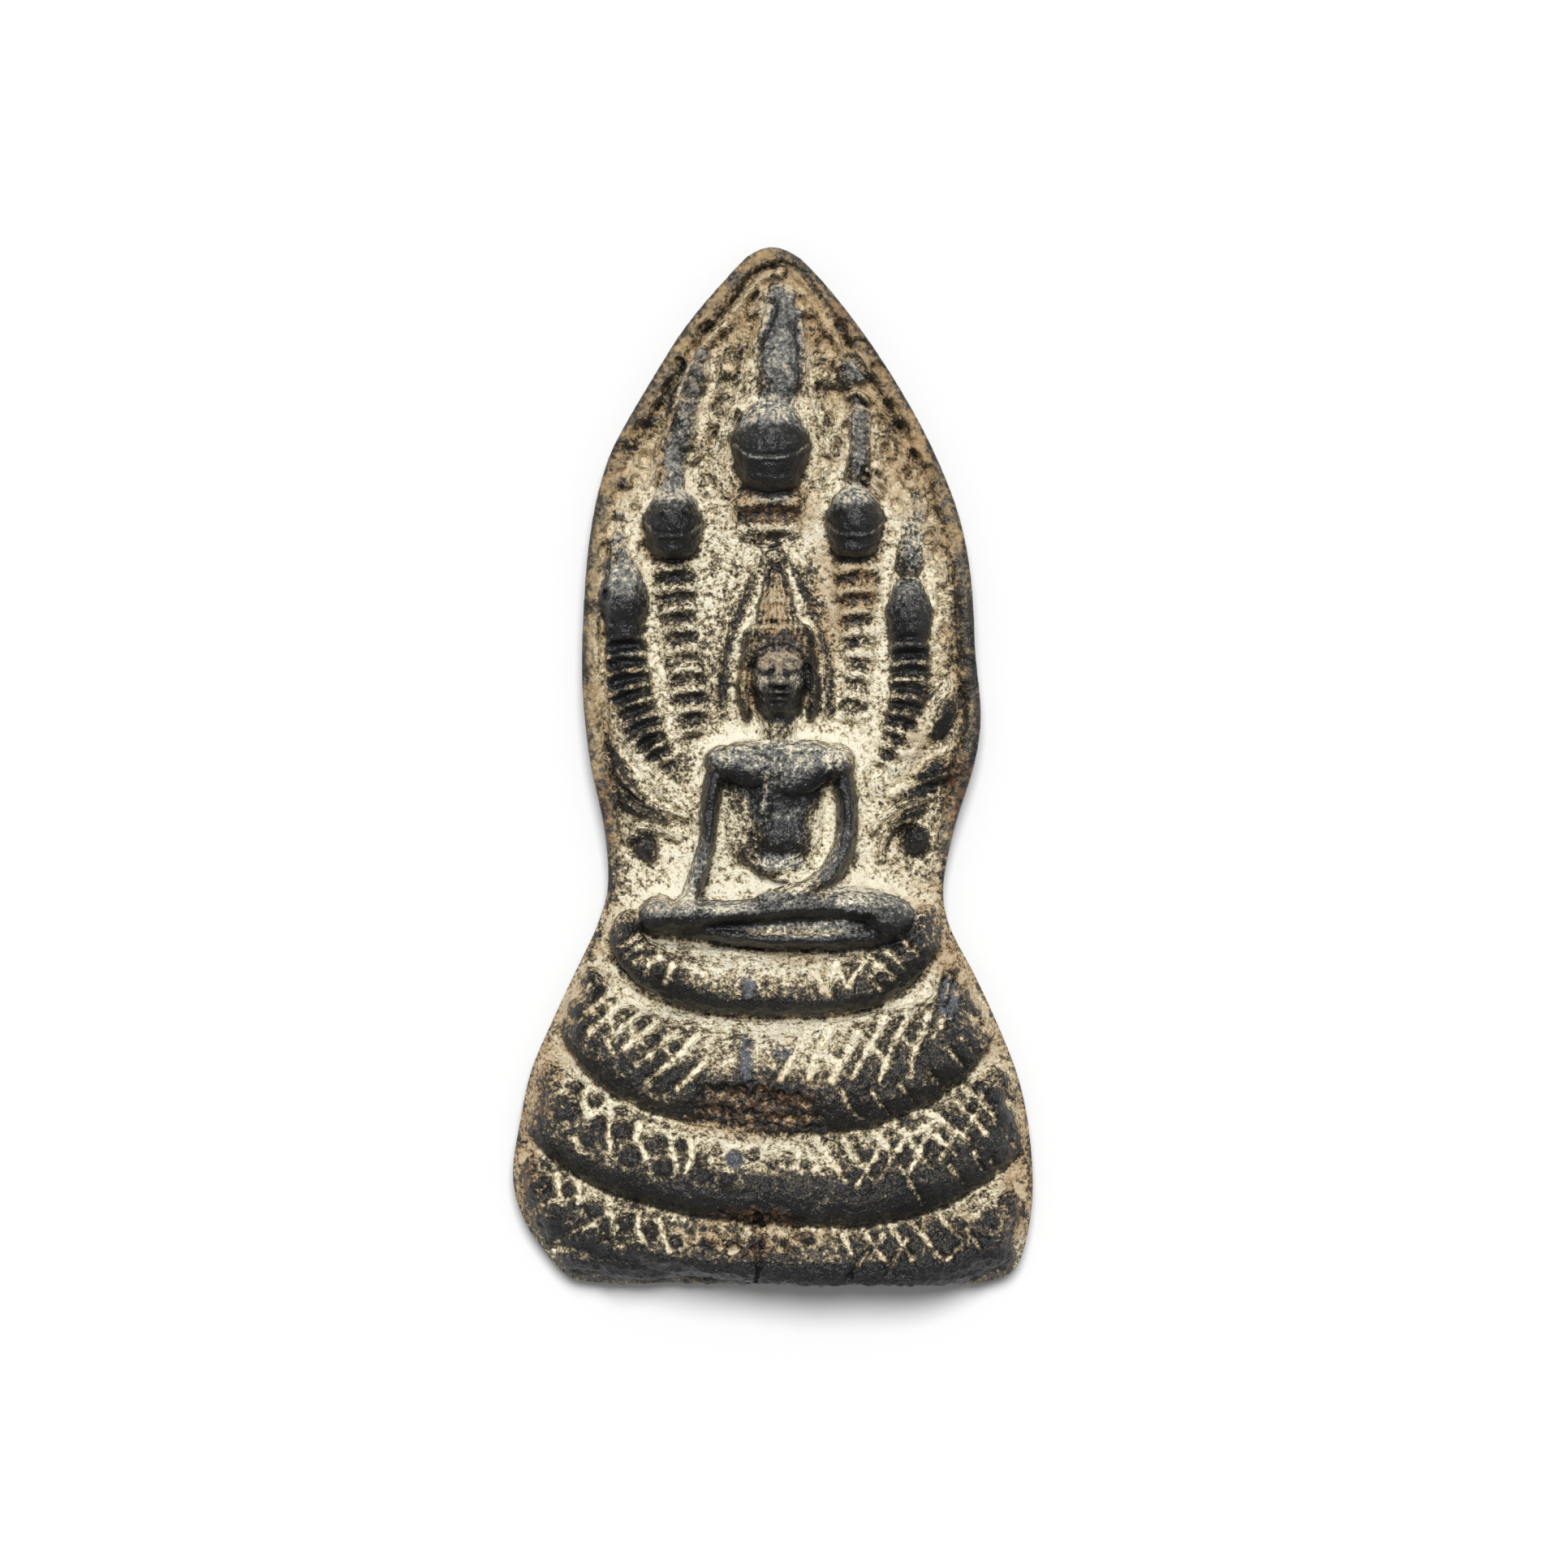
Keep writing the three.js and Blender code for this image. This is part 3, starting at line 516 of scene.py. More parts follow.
# Small worn leaves between them, each a cup with a raised border: (x, y, half width, half height, turn)
leaves = {
    "depth": 0.42, "border": 0.40, "borderAt": 1.3, "borderHalf": 0.4,
    "at": [
        (-1.7, 94.7, 0.7, 1.0, 20), (-2.1, 92.1, 0.9, 1.2, 15), (-2.7, 89, 0.75, 0.9, 0),
        (-4.1, 89, 0.8, 1.3, 20), (-4.5, 86.7, 0.6, 1.0, 10), (-5.3, 84.3, 0.7, 1.2, 15),
        (-5.9, 81.6, 0.6, 1.0, 10), (3.7, 92.3, 0.75, 1.1, -15), (4.9, 90.2, 0.9, 1.3, -20),
        (5.1, 87.9, 0.7, 0.9, -10), (4.5, 86.2, 0.5, 0.8, 0), (5.9, 85.8, 0.6, 0.8, -10),
        (5.4, 83.2, 0.5, 0.9, 0), (6.2, 80.6, 0.6, 0.8, 0), (5.1, 79.3, 0.6, 0.6, 0),
        (11, 80.6, 0.8, 0.8, 0), (10.4, 83, 1.0, 0.7, 40), (9.4, 86.3, 0.9, 0.7, 40),
        (11.5, 84.3, 1.0, 0.8, 50), (12.5, 82.4, 0.9, 0.8, 50), (10.3, 88, 0.9, 0.6, 50),
        (-10.9, 84.3, 0.7, 0.7, 0), (-12.9, 82.2, 1.2, 0.7, -50), (-14.5, 80.1, 1.1, 0.8, -60),
        (-9.9, 86.4, 1.0, 0.6, -55), (-12.3, 79.7, 0.7, 0.7, 0), (-13.2, 77.5, 0.5, 0.5, 0),
        (-6.3, 77.2, 0.7, 0.9, -20), (13.6, 79.6, 0.8, 0.6, 60), (15.2, 77.9, 0.6, 1.0, -10),
        (15.4, 74.1, 0.7, 1.0, -10), (16.1, 70.5, 0.7, 1.0, -5), (12.0, 75, 0.6, 0.8, -20),
        (11.4, 72.2, 0.5, 0.6, 0), (-12.6, 70.9, 0.6, 0.7, 0), (-16.2, 70.5, 0.6, 0.9, 0),
        (16.4, 66.4, 0.7, 1.1, 0), (16.6, 62.5, 0.7, 1.1, 0), (-5.9, 74.3, 0.6, 0.6, 0),
        (5.3, 75.2, 0.6, 0.6, 0), (-3.9, 93, 0.5, 0.6, 0), (2.6, 94.6, 0.6, 0.8, -20),
        (6.7, 92.4, 0.6, 0.7, -30), (-6.6, 92.1, 0.9, 0.5, -30), (-4.9, 91.4, 0.5, 0.6, 0),
        (7.1, 82.3, 0.5, 0.8, 0), (-10.9, 80.2, 0.5, 0.7, -20), (10.1, 77.9, 0.5, 0.6, 0),
        (-11.6, 82.2, 0.5, 0.7, -30), (-8.9, 88.6, 0.5, 0.7, -30), (-13.4, 74.6, 0.5, 0.7, 0),
        (8.6, 90.6, 1.0, 0.5, 30), (12.9, 78.2, 0.5, 0.6, 0), (-15.9, 66.4, 0.4, 0.6, 0),
        (15.1, 71.8, 0.5, 0.7, 0), (-3.4, 83.6, 0.4, 0.7, 10),
    ],
}

# Flames below the hood: (route, half widths, rise)
flames = [
    ([(-15.6, 51.6), (-14.6, 49.6), (-13.5, 48), (-12.2, 46.6)], [0.4, 1.1, 1.0, 0.4], 1.7),
    ([(-15.2, 48), (-14, 46.4), (-12.2, 45.4), (-9.6, 44.4)], [0.4, 0.9, 0.9, 0.3], 1.6),
    ([(-13.4, 43.4), (-12.4, 42.6), (-11.8, 41.4), (-11.5, 40.6)], [0.7, 1.35, 1.1, 0.5], 2.4),
    ([(17.2, 57.2), (16.8, 55.4), (16.3, 53.8), (15.6, 52.4)], [0.3, 0.9, 1.1, 0.4], 1.7),
    ([(18.1, 51.6), (16.4, 50), (14.9, 49.1), (13.6, 48.6)], [0.5, 1.3, 1.1, 0.4], 1.8),
    ([(15.9, 48.1), (13.6, 47.2), (11.6, 46)], [0.5, 0.8, 0.3], 1.6),
    ([(15.2, 46), (13.2, 45.2), (11.4, 43.6)], [0.6, 0.9, 0.3], 1.6),
    ([(14.6, 44.2), (13.9, 42.9), (13.4, 41.5)], [0.9, 1.5, 0.8], 2.0),
]
for route, halfWidth, rise in flames:
    drawn(route, halfWidth, [0.6 * rise, rise, 0.7 * rise], steps=14)
print("hood made")


# Seated figure. Its right hand lies over the shin and its left hand in the lap.

faceAxis = 0.6
figure = {
    "flanks": ([(0.2, 51), (0.1, 47.4), (0.1, 43.4), (0.2, 39)], [5.0, 4.9, 5.0, 4.2],
        [3.1, 2.6, 2.0, 0.7], {"steps": 20, "blunt": 3, "roundness": 5}),
    "trunk": ([(0.7, 51.4), (0.8, 49.8), (0.9, 48), (1.0, 46), (1.0, 43.8), (0.9, 41.4), (0.7, 38.6)],
        [5.4, 4.9, 4.1, 3.4, 3.2, 3.5, 3.0], [3.4, 3.5, 3.3, 3.0, 2.9, 2.2, 0.8],
        {"steps": 26, "blunt": 8, "roundness": 5}),
    "shoulders": ([(-5.1, 50.2), (-3.2, 50.8), (0.6, 50.9), (4.4, 50.9), (6.5, 50.2)],
        [1.6, 1.5, 1.3, 1.5, 1.7], [3.7, 4.0, 3.6, 4.1, 3.8], {"steps": 24, "roundness": 5}),
    "rightArm": ([(-5.1, 50.6), (-5.7, 48), (-6.1, 45.6), (-6.3, 42.6), (-7, 40), (-7.6, 38.2),
        (-8.2, 36.4)], [1.5, 1.15, 1.0, 0.85, 0.85, 0.95, 1.4], [4.2, 4.0, 3.9, 4.0, 4.6, 5.2, 6.2],
        {"steps": 26}),
    "leftArm": ([(6.4, 50.6), (7.0, 47.6), (7.2, 45), (7.0, 42.6), (6.4, 40.9), (5.3, 39.3), (3.4, 38.1),
        (0.6, 37.5), (-1.8, 37.05)], [1.6, 1.25, 1.15, 1.15, 1.2, 1.15, 1.0, 0.75, 0.4],
        [4.2, 4.1, 4.2, 4.5, 4.8, 5.1, 5.2, 5.1, 4.6], {"steps": 36}),
    "thumb": ([(-1.7, 37.25), (-2.4, 37.5), (-3.2, 37.3)], [0.2, 0.3, 0.15], [4.7, 4.8, 4.5],
        {"steps": 8, "flat": 1, "roundness": 2}),
    "lap": ([(-11.4, 35.4), (-6, 34.9), (0, 34.8), (7, 35.1), (12, 35.1)], [2.2, 1.8, 2.0, 2.7, 2.8],
        [3.8, 3.7, 3.5, 3.9, 3.9], {"steps": 24}),
    "upperLeg": ([(-11.6, 35.5), (-6.6, 35.6), (-1.5, 35.9), (3, 36.4), (8, 36.4), (12.4, 35.5)],
        [1.9, 1.35, 1.15, 1.3, 1.9, 2.3], [5.6, 5.9, 5.8, 5.9, 6.0, 5.7],
        {"steps": 34, "blunt": 14, "roundness": 5}),
    "lowerLeg": ([(12, 34.4), (10.6, 33.7), (8, 33.4), (4, 33.2), (0, 33.2), (-4, 33.6), (-8, 34.2)],
        [1.8, 1.5, 1.15, 0.95, 0.85, 0.8, 0.7], [5.6, 5.6, 5.4, 5.2, 5.0, 4.8, 4.6], {"steps": 28}),
    "neck": ([(faceAxis, 57), (faceAxis, 51.6)], [1.6, 1.9], [2.6, 2.8], {"steps": 8}),
    "collarLeft": ([(-4.6, 51.6), (-2.2, 51.5), (0.1, 50.8)], [0.35, 0.4, 0.25], [4.3, 4.4, 4.2],
        {"steps": 10}),
    "collarRight": ([(5.6, 51.6), (3.4, 51.5), (1.1, 50.8)], [0.35, 0.4, 0.25], [4.3, 4.4, 4.2],
        {"steps": 10}),
}
figureBosses = [   # half width, half height and rise, then the height of the middle and the turn
    (-2.5, 49.9, 2.6, 1.9, 4.15, 2.9, -20), (3.1, 49.3, 3.2, 2.0, 4.2, 2.9, 32),   # chest
    (1.0, 43.4, 2.8, 2.4, 3.3, 1.6), (0.9, 40.3, 3.0, 1.4, 2.4, 0.8),   # belly
    (-4.9, 50.2, 1.7, 1.8, 4.2), (6.4, 50.2, 1.7, 1.9, 4.2),   # shoulders
    (-10.9, 35.5, 2.1, 2.0, 5.8), (11.0, 35.1, 2.8, 2.5, 5.9),   # knees
    (-8.2, 36.2, 1.4, 1.5, 6.6),   # hand on the shin
    (faceAxis, 58.9, 2.95, 4.1, 4.9), (faceAxis, 56.7, 2.4, 2.5, 4.75),   # face and chin
    (faceAxis, 62.2, 3.6, 2.1, 4.4),   # back of the head
]
for route, halfWidth, rise, more in figure.values():
    drawn(route, halfWidth, rise, **more)
for form in figureBosses:
    boss(*form)
for k in range(4):   # fingers over the shin
    x = -9.3 + 0.6 * k
    drawn([(x + 0.2, 36.6), (x, 35.4), (x - 0.1, 34.4)], [0.3, 0.33, 0.22], [6.6, 6.75, 6.1],
          steps=8, flat=1, roundness=2)
for k in range(3):   # fingers in the lap
    y = 37.5 - 0.36 * k
    drawn([(0.8, y + 0.25), (-0.6, y), (-1.9 + 0.2 * k, y - 0.2)], [0.2, 0.22, 0.14], [5.5, 5.4, 4.9],
          steps=8, flat=1, roundness=2)

# Face with lowered lids, on even thirds between hairline, brow, nose and chin. It is carved once the head
# is one piece. Distances count from the face's axis; what lies beside it is there on both sides.
face = {
    "strength": 1.45, "tight": 1.2,   # how deep it is carved, and how fast the domes fall off
    "pair": [   # route, half width, rise
        ([(0.35, 60.05), (1.2, 60.45), (2.25, 59.8)], 0.22, 0.30),
        ([(0.5, 59.05), (1.25, 58.84), (2.05, 59.1)], 0.13, -0.36),
    ],
    "single": [
        ([(0, 60.1), (0, 59), (0, 57.95)], 0.34, 0.50), ([(-0.6, 57.42), (0.6, 57.42)], 0.15, -0.2),
        ([(-0.95, 56.87), (-0.3, 57.02), (0, 56.95), (0.3, 57.02), (0.95, 56.87)], 0.17, 0.30),
        ([(-1.05, 56.74), (0, 56.63), (1.05, 56.74)], 0.11, -0.38),
        ([(-0.7, 56.4), (0, 56.28), (0.7, 56.4)], 0.2, 0.32), ([(-0.6, 55.9), (0.6, 55.9)], 0.2, -0.15),
    ],
    "domes": [   # from the axis, level, half width, half height, rise
        (1.25, 59.4, 1.0, 0.6, -0.24), (1.25, 59.32, 0.8, 0.42, 0.46), (0, 57.95, 0.5, 0.42, 0.42),
        (0.42, 57.82, 0.3, 0.26, 0.3), (1.5, 57.7, 1.0, 1.0, 0.16), (0, 55.42, 0.75, 0.5, 0.24),
    ],
}

# Hair, tiered crown and its finial, long ears
crown = {
    "hairline": (
        [(-2.5, 58.1), (-2.5, 59.9), (-1.6, 61.3), (0.6, 62.0), (2.8, 61.3), (3.7, 59.9), (3.7, 58.1)],
        [0.6, 0.8, 0.75, 0.65, 0.75, 0.8, 0.6], [3.5, 4.2, 4.6, 4.7, 4.6, 4.2, 3.5]),
    "curl": 1.1, "curlRise": 0.34,
    "face": (2.5, 2.75, 59.0), "hair": (4.2, 3.2, 61.0),   # half width, half height, level
    "axis": 0.45, "band": [(64.2, 2.35, 3.5), (65.1, 2.1, 3.3)],   # level, half width, rise
    "grooveHalf": 0.17, "grooveDepth": 0.5,
    "cone": (
        [(0.45, 64), (0.35, 66.2), (0.3, 68), (0.3, 70.2)], [2.4, 1.85, 1.3, 0.4], [3.9, 3.5, 2.9, 1.6]),
}
drawn(*crown["hairline"], steps=24)
drawn(*crown["cone"], steps=18, blunt=12)
for level, halfWidth, rise in crown["band"]:
    x = crown["axis"]
    drawn([(x - halfWidth, level - 0.25), (x, level), (x + halfWidth, level - 0.25)], [0.34, 0.42, 0.34],
          [0.8 * rise, rise + 0.3, 0.8 * rise], steps=12, blunt=8)
crownGrooves = [[(0.45 + 0.52 * k, 63.6), (0.42 + 0.42 * k, 65.4)] for k in range(-4, 5)]
crownGrooves += [[(0.4 + 0.5 * k, 66.2), (0.3 + 0.18 * k, 69.4)] for k in range(-2, 3)]
for side in (-1, 1):   # ears
    drawn([(faceAxis + side * x, y) for x, y in ((3.3, 59.4), (3.5, 57.6), (3.3, 55.8), (2.9, 54))],
          [0.5, 0.65, 0.6, 0.5], [3.4, 3.2, 2.7, 2.1], steps=14)

# Pointed nimbus round the head
nimbus = {
    "axis": 0.35, "side": [(-5.2, 55), (-5.0, 58.4), (-4.4, 62), (-2.6, 66.8), (-0.9, 69.9)], "point": 70.9,
}
arch = [(nimbus["axis"] + x, y) for x, y in nimbus["side"]]
back = [(nimbus["axis"] - x, y) for x, y in reversed(nimbus["side"])]
hoodLines.append((arch + [(nimbus["axis"], nimbus["point"])] + back, 0.5, 0.8, -1.6))
print("figure made,", len(relief), "forms")


# Casting: all forms joined, fused, worn and pitted. What lies low on the plate's sides stays still.

mapPitch = 0.1   # of the grids that the relief is read on
casting = {
    "voxel": 0.082, "soften": 4, "triangles": 192000,
    "root": 0.3, "stillBelow": 0.3,   # the root is the share of a form's depth kept below the field
    "edgeHeight": 1.1, "edgeReach": {"rise": 4.4, "width": 4.4, "upTo": 40},
    "fill": 0.36, "fillReach": 0.5, "fillFrom": 0.03,
    "lumps": [(1.6, 0.20, "front"), (0.55, 0.17, "front"), (0.22, 0.08, "front"),   # size, depth, place
              (0.85, 0.30, "hoodField"), (0.42, 0.14, "coils"), (1.1, 0.18, "coils")],
    "broken": [(-1.5, 17.2, 6.6, 2.4), (1.6, 15.8, 4.0, 1.6), (-2.2, 5.0, 5.6, 2.2)],   # soft ovals
    "brokenDepth": 0.75, "brokenSize": 0.42, "brokenSink": 0.7,
    "scar": (   # across, its ledge, its foot and its depth
        [-8, -7.2, -6.3, -5.5, -4.6, -3.8, -2.9, -2.2, -1.2, -0.3, 0.7, 1.5, 2.4, 3.3, 4.2, 5, 5.8],
        [16.6, 18.4, 19.6, 19, 19.9, 18.9, 19.4, 18.6, 19.3, 18.3, 18.9, 18.1, 18.9, 17.8, 18.3, 17.4, 16.2],
        14.8, 0.85),
    "crack": (   # its line, half width and depth
        [[(-1.6, 0.4), (-1.3, 2.2), (-1.6, 3.8), (-1.3, 5.4), (-1.5, 7.0)]], 0.22, 1.1),
    "hole": (-3.9, 3.4, 0.5, 0.5, 1.0),   # x, y, half width, half height, depth
}


def frontPart(co, reach):
    # 0 on the back and low on the sides, 1 from a reach above that
    return np.clip((co[:, 2] - casting["stillBelow"]) / reach, 0, 1)


def nearSpots(x, y, spots):
    # 1 at the middle of each soft oval, x and y in hundredths of the height
    near = np.zeros(len(x))
    for px, py, w, h in spots:
        near = np.maximum(near, np.clip(1.25 - np.hypot((x - px) / w, (y - py) / h), 0, 1))
    return np.clip(near * 1.6, 0, 1)


def reliefMaps(co, reaches):
    # the surface's height over a grid, blurred over each reach
    low = co[:, :2].min(0) - 1
    index = ((co[:, :2] - low) / mapPitch).astype(int)
    shape = index.max(0) + 11
    height = np.full(shape, -1.0)
    np.maximum.at(height, (index[:, 0], index[:, 1]), co[:, 2])
    known = (height > 0.5 * plate["thickness"]).astype(float)
    height = np.where(known > 0, height, 0)
    maps = {}
    for name, reach in reaches.items():
        sigma = reach / mapPitch
        span = np.arange(-int(3 * sigma) - 1, int(3 * sigma) + 2)
        kernel = np.exp(-0.5 * (span / sigma) ** 2)
        kernel /= kernel.sum()

        def blurred(grid):
            for axis in (0, 1):
                grid = np.apply_along_axis(lambda line: np.convolve(line, kernel, mode="same"), axis, grid)
            return grid

        maps[name] = blurred(height) / np.maximum(blurred(known), 1e-3)
    return low, maps


def readMap(grid, low, co):
    place = (co[:, :2] - low) / mapPitch - 0.5
    base = np.clip(np.floor(place).astype(int), 0, np.array(grid.shape) - 2)
    part = np.clip(place - base, 0, 1)
    i, j = base.T
    u, v = part.T
    return ((grid[i, j] * (1 - u) + grid[i + 1, j] * u) * (1 - v)
            + (grid[i, j + 1] * (1 - u) + grid[i + 1, j + 1] * u) * v)


def fuse():
    # what lies below the field is made shallow, so that it stays inside the plate
    deselectAll()
    for form in relief:
        form.select_set(True)
    bpy.context.view_layer.objects.active = relief[0]
    bpy.ops.object.join()
    forms = bpy.context.object
    deselectMesh("VERT")
    for vertex in forms.data.vertices:
        vertex.select = (forms.matrix_world @ vertex.co).z < plate["thickness"]
    bpy.ops.object.mode_set(mode="EDIT")
    bpy.ops.transform.resize(value=(1, 1, casting["root"]), center_override=(0, 0, plate["thickness"]))
    bpy.ops.object.mode_set(mode="OBJECT")
    slab.select_set(True)
    bpy.context.view_layer.objects.active = slab
    bpy.ops.object.join()
    body = bpy.context.object
    bpy.data.objects.remove(trimmer)
    melt = body.modifiers.new("fuse", "REMESH")
    melt.mode = "VOXEL"
    melt.voxel_size = casting["voxel"]
    bpy.ops.object.modifier_apply(modifier=melt.name)
    soft = body.modifiers.new("soften", "SMOOTH")
    soft.factor = 0.5
    soft.iterations = casting["soften"]
    bpy.ops.object.modifier_apply(modifier=soft.name)
    return body


def weather(body):
    # uneven lumps in the mould and broken places, each on its part of the front
    co = meshArray(body.data)
    x, y = inHundredths(co)
    inside = outlineGap(co, np.arange(len(co)))
    front = frontPart(co, 0.8) * np.clip(inside / 0.5 - 0.2, 0, 1)
    broken = nearSpots(x, y, casting["broken"]) * (co[:, 2] > plate["thickness"] + 0.5)
    hoodField = np.clip((y - 60) / 10, 0, 1) * np.clip(1 - (co[:, 2] - plate["thickness"]) / 1.2, 0, 1)
    coilPart = np.clip((coilTop - y) / 2, 0, 1)
    parts = {"front": front, "broken": broken, "hoodField": hoodField * front, "coils": coilPart * front}
    weightSteps = 20
    for name, weights in parts.items():
        group = body.vertex_groups.new(name=name)
        for step in range(1, weightSteps + 1):
            index = np.flatnonzero(np.round(weights * weightSteps) == step)
            if len(index):
                group.add(index.tolist(), step / weightSteps, "REPLACE")
    for k, (size, depth, place) in enumerate(casting["lumps"]):
        lump(body, f"lumps{k}", size, depth, place)
    lump(body, "broken", casting["brokenSize"], casting["brokenDepth"], "broken", casting["brokenSink"])


farAway = 99.0


def outlineGap(co, near):
    # how far each of the points near lies inside the plate's edge, in millimetres
    edge = outlinePath * unit - np.array([0, 50 * unit])
    gap = np.full(len(co), farAway)
    batch = 20000   # points at a time, to save memory
    for start in range(0, len(near), batch):
        part = near[start:start + batch]
        gap[part] = np.sqrt(((co[part, None, :2] - edge[None]) ** 2).sum(-1).min(1))
    return gap


def fillCorners(body):
    # old soil and a worn mould round off the corners between the forms and the field
    co = meshArray(body.data)
    low, maps = reliefMaps(co, {"around": casting["fillReach"]})
    front = frontPart(co, 1.0)
    short = readMap(maps["around"], low, co) - co[:, 2] - casting["fillFrom"]
    co[:, 2] += casting["fill"] * np.maximum(short, 0) * front
    # the lowest coil rounds off to the lower edge
    reach = casting["edgeReach"]
    inside = outlineGap(co, np.flatnonzero(co[:, 1] < (reach["upTo"] - 50) * unit))
    cap = casting["edgeHeight"] + reach["rise"] * (1 - (1 - np.clip(inside / reach["width"], 0, 1)) ** 2)
    lower = np.clip((reach["upTo"] - co[:, 1] / unit - 50) / 6, 0, 1)
    co[:, 2] -= lower * np.maximum(co[:, 2] - cap, 0)
    moveMesh(body.data, co)


def lineGap(x, y, lines, reach):
    # distance to the nearest of the lines, as far as the reach
    gap = np.full(len(x), farAway)
    for line in lines:
        points = np.array(line)
        low, high = points.min(0) - reach, points.max(0) + reach
        index = np.flatnonzero((x > low[0]) & (x < high[0]) & (y > low[1]) & (y < high[1]))
        for start, end in zip(points[:-1], points[1:]):
            run = end - start
            fromStart = np.stack([x[index], y[index]], axis=1) - start
            share = np.clip(fromStart @ run / (run @ run), 0, 1)
            gap[index] = np.minimum(gap[index], np.hypot(*(fromStart - share[:, None] * run).T))
    return gap


def nearLines(x, y, lines, half):
    # 1 on each line, fading to 0 at about twice its half width
    return np.exp(-(lineGap(x, y, lines, 3 * half) / half) ** 2)


ridgeShape = {
    "rise": 0.72, "sideDepth": 0.4, "deepest": 0.30,     # of a raised line and the grooves beside it
    "sideAt": 2.2, "sideHalf": 0.75, "sideShade": 0.9,   # the grooves, in the line's half widths
}


def ridgeProfile(x, y):
    # the raised lines as heights, and as 1 on a line and below 0 in the grooves beside it
    height, shade = np.zeros(len(x)), np.zeros(len(x))
    for route, half, rise, *pale in hoodLines:
        gap = lineGap(x, y, [smoothRoute(route, 5 * len(route))[0]], 5 * half)
        line = np.exp(-(gap / half) ** 2)
        sides = np.exp(-((gap - ridgeShape["sideAt"] * half) / (ridgeShape["sideHalf"] * half)) ** 2)
        depth = min(ridgeShape["deepest"], ridgeShape["sideDepth"] * rise)
        height += ridgeShape["rise"] * rise * line - depth * sides
        # raised lines are pale, and the grooves beside them are darkened as painted shade
        shade += (pale[0] if pale else 1) * line - ridgeShape["sideShade"] * sides
    return height, np.clip(shade, -1, 2)


def rimProfile(x, y, co):
    # the band along the hood's edge, its inner groove and the fine line inside that
    gap = outlineGap(co, np.flatnonzero(y > rim["from"] - rim["fade"])) / unit
    fade = np.clip((y - rim["from"]) / rim["fade"], 0, 1)
    at, half, depth = rim["groove"]
    groove = fade * np.exp(-((gap - at) / half) ** 2)
    at, half, rise = rim["line"]
    line = fade * np.exp(-((gap - at) / half) ** 2)
    return rise * line - depth * groove, 0.5 * line - groove


def refine(body):
    # a finer mesh for the head
    deselectMesh("FACE")
    middle = np.zeros(len(body.data.polygons) * 3)
    body.data.polygons.foreach_get("center", middle)
    middle = middle.reshape(-1, 3)
    inside = ovalFar(*inHundredths(middle), faceAxis, 59.6, 3.6, 5.0) < 1
    inside &= middle[:, 2] > plate["thickness"] + 0.3
    body.data.polygons.foreach_set("select", inside)
    bpy.ops.object.mode_set(mode="EDIT")
    bpy.ops.mesh.subdivide(number_cuts=1)
    bpy.ops.object.mode_set(mode="OBJECT")


def faceProfile(x, y):
    # what the face and the hair's curls add to the head, in hundredths of the height
    added = np.zeros(len(x))
    index = np.flatnonzero(ovalFar(x, y, faceAxis, 59.6, 4.2, 5.6) < 1)
    x, y = x[index] - faceAxis, y[index]
    parts = np.zeros(len(x))
    for side, name in ((1, "pair"), (-1, "pair"), (1, "single")):
        for route, half, rise in face[name]:
            path = smoothRoute([(side * px, py) for px, py in route], 24)[0]
            parts += face["strength"] * rise * nearLines(x, y, [path], half)
    for px, py, w, h, rise in face["domes"]:
        for side in ((1, -1) if px else (1,)):
            far = ovalFar(x, y, side * px, py, w, h)
            parts += face["strength"] * rise * np.exp(-face["tight"] * far ** 2)
    faceSize, hairSize = crown["face"], crown["hair"]
    hair = np.clip((ovalFar(x, y, 0, faceSize[2], *faceSize[:2]) - 1) * 6, 0, 1)
    hair *= (np.clip((1 - ovalFar(x, y, 0, hairSize[2], *hairSize[:2])) * 6, 0, 1)
             * np.clip((63.9 - y) * 4, 0, 1))   # up to the crown
    turn = 2 * math.pi / crown["curl"]
    curls = 2 * np.maximum(np.cos(turn * x) * np.cos(turn * y), 0) - 0.6
    added[index] = parts + crown["curlRise"] * hair * curls
    return added


def carveDetails(body):
    # grooves, ribs, cups and cracks lie on the rounded forms, which no cutter of straight faces follows
    co = meshArray(body.data)
    x, y = inHundredths(co)
    carved = ridgeProfile(x, y)[0] + rimProfile(x, y, co)[0] + faceProfile(x, y)
    for px, py, w, h in scales["pads"]:
        carved += scales["padRise"] * np.exp(-ovalFar(x, y, px, py, w, h) ** 4)
    for name in ("wide", "narrow"):
        half, depth, lines = scales[name]
        carved -= depth * (nearLines(x, y, lines, half) + 0.5 * nearLines(x, y, lines, 2.4 * half))
    for head in heads:
        carved += ribs["rise"] * ribWave(x, y, head)
    for leaf in leaves["at"]:
        far = ovalFar(x, y, *leaf)
        carved += (leaves["border"] * np.exp(-((far - leaves["borderAt"]) / leaves["borderHalf"]) ** 2)
                   - leaves["depth"] * np.exp(-far ** 4))
    carved -= crown["grooveDepth"] * nearLines(x, y, crownGrooves, crown["grooveHalf"])
    across, top, low, depth = casting["scar"]
    carved -= (depth * np.clip((np.interp(x, across, top, 0, 0) - y) / 0.22, 0, 1)
               * np.clip((y - low) / 1.2, 0, 1) * np.clip((x - across[0]) / 2, 0, 1)
               * np.clip((across[-1] - x) / 3, 0, 1))
    lines, half, depth = casting["crack"]
    carved -= depth * nearLines(x, y, lines, half)
    px, py, w, h, depth = casting["hole"]
    carved -= depth * np.exp(-ovalFar(x, y, px, py, w, h) ** 4)
    co[:, 2] += carved * frontPart(co, 1.0) * unit
    moveMesh(body.data, co)


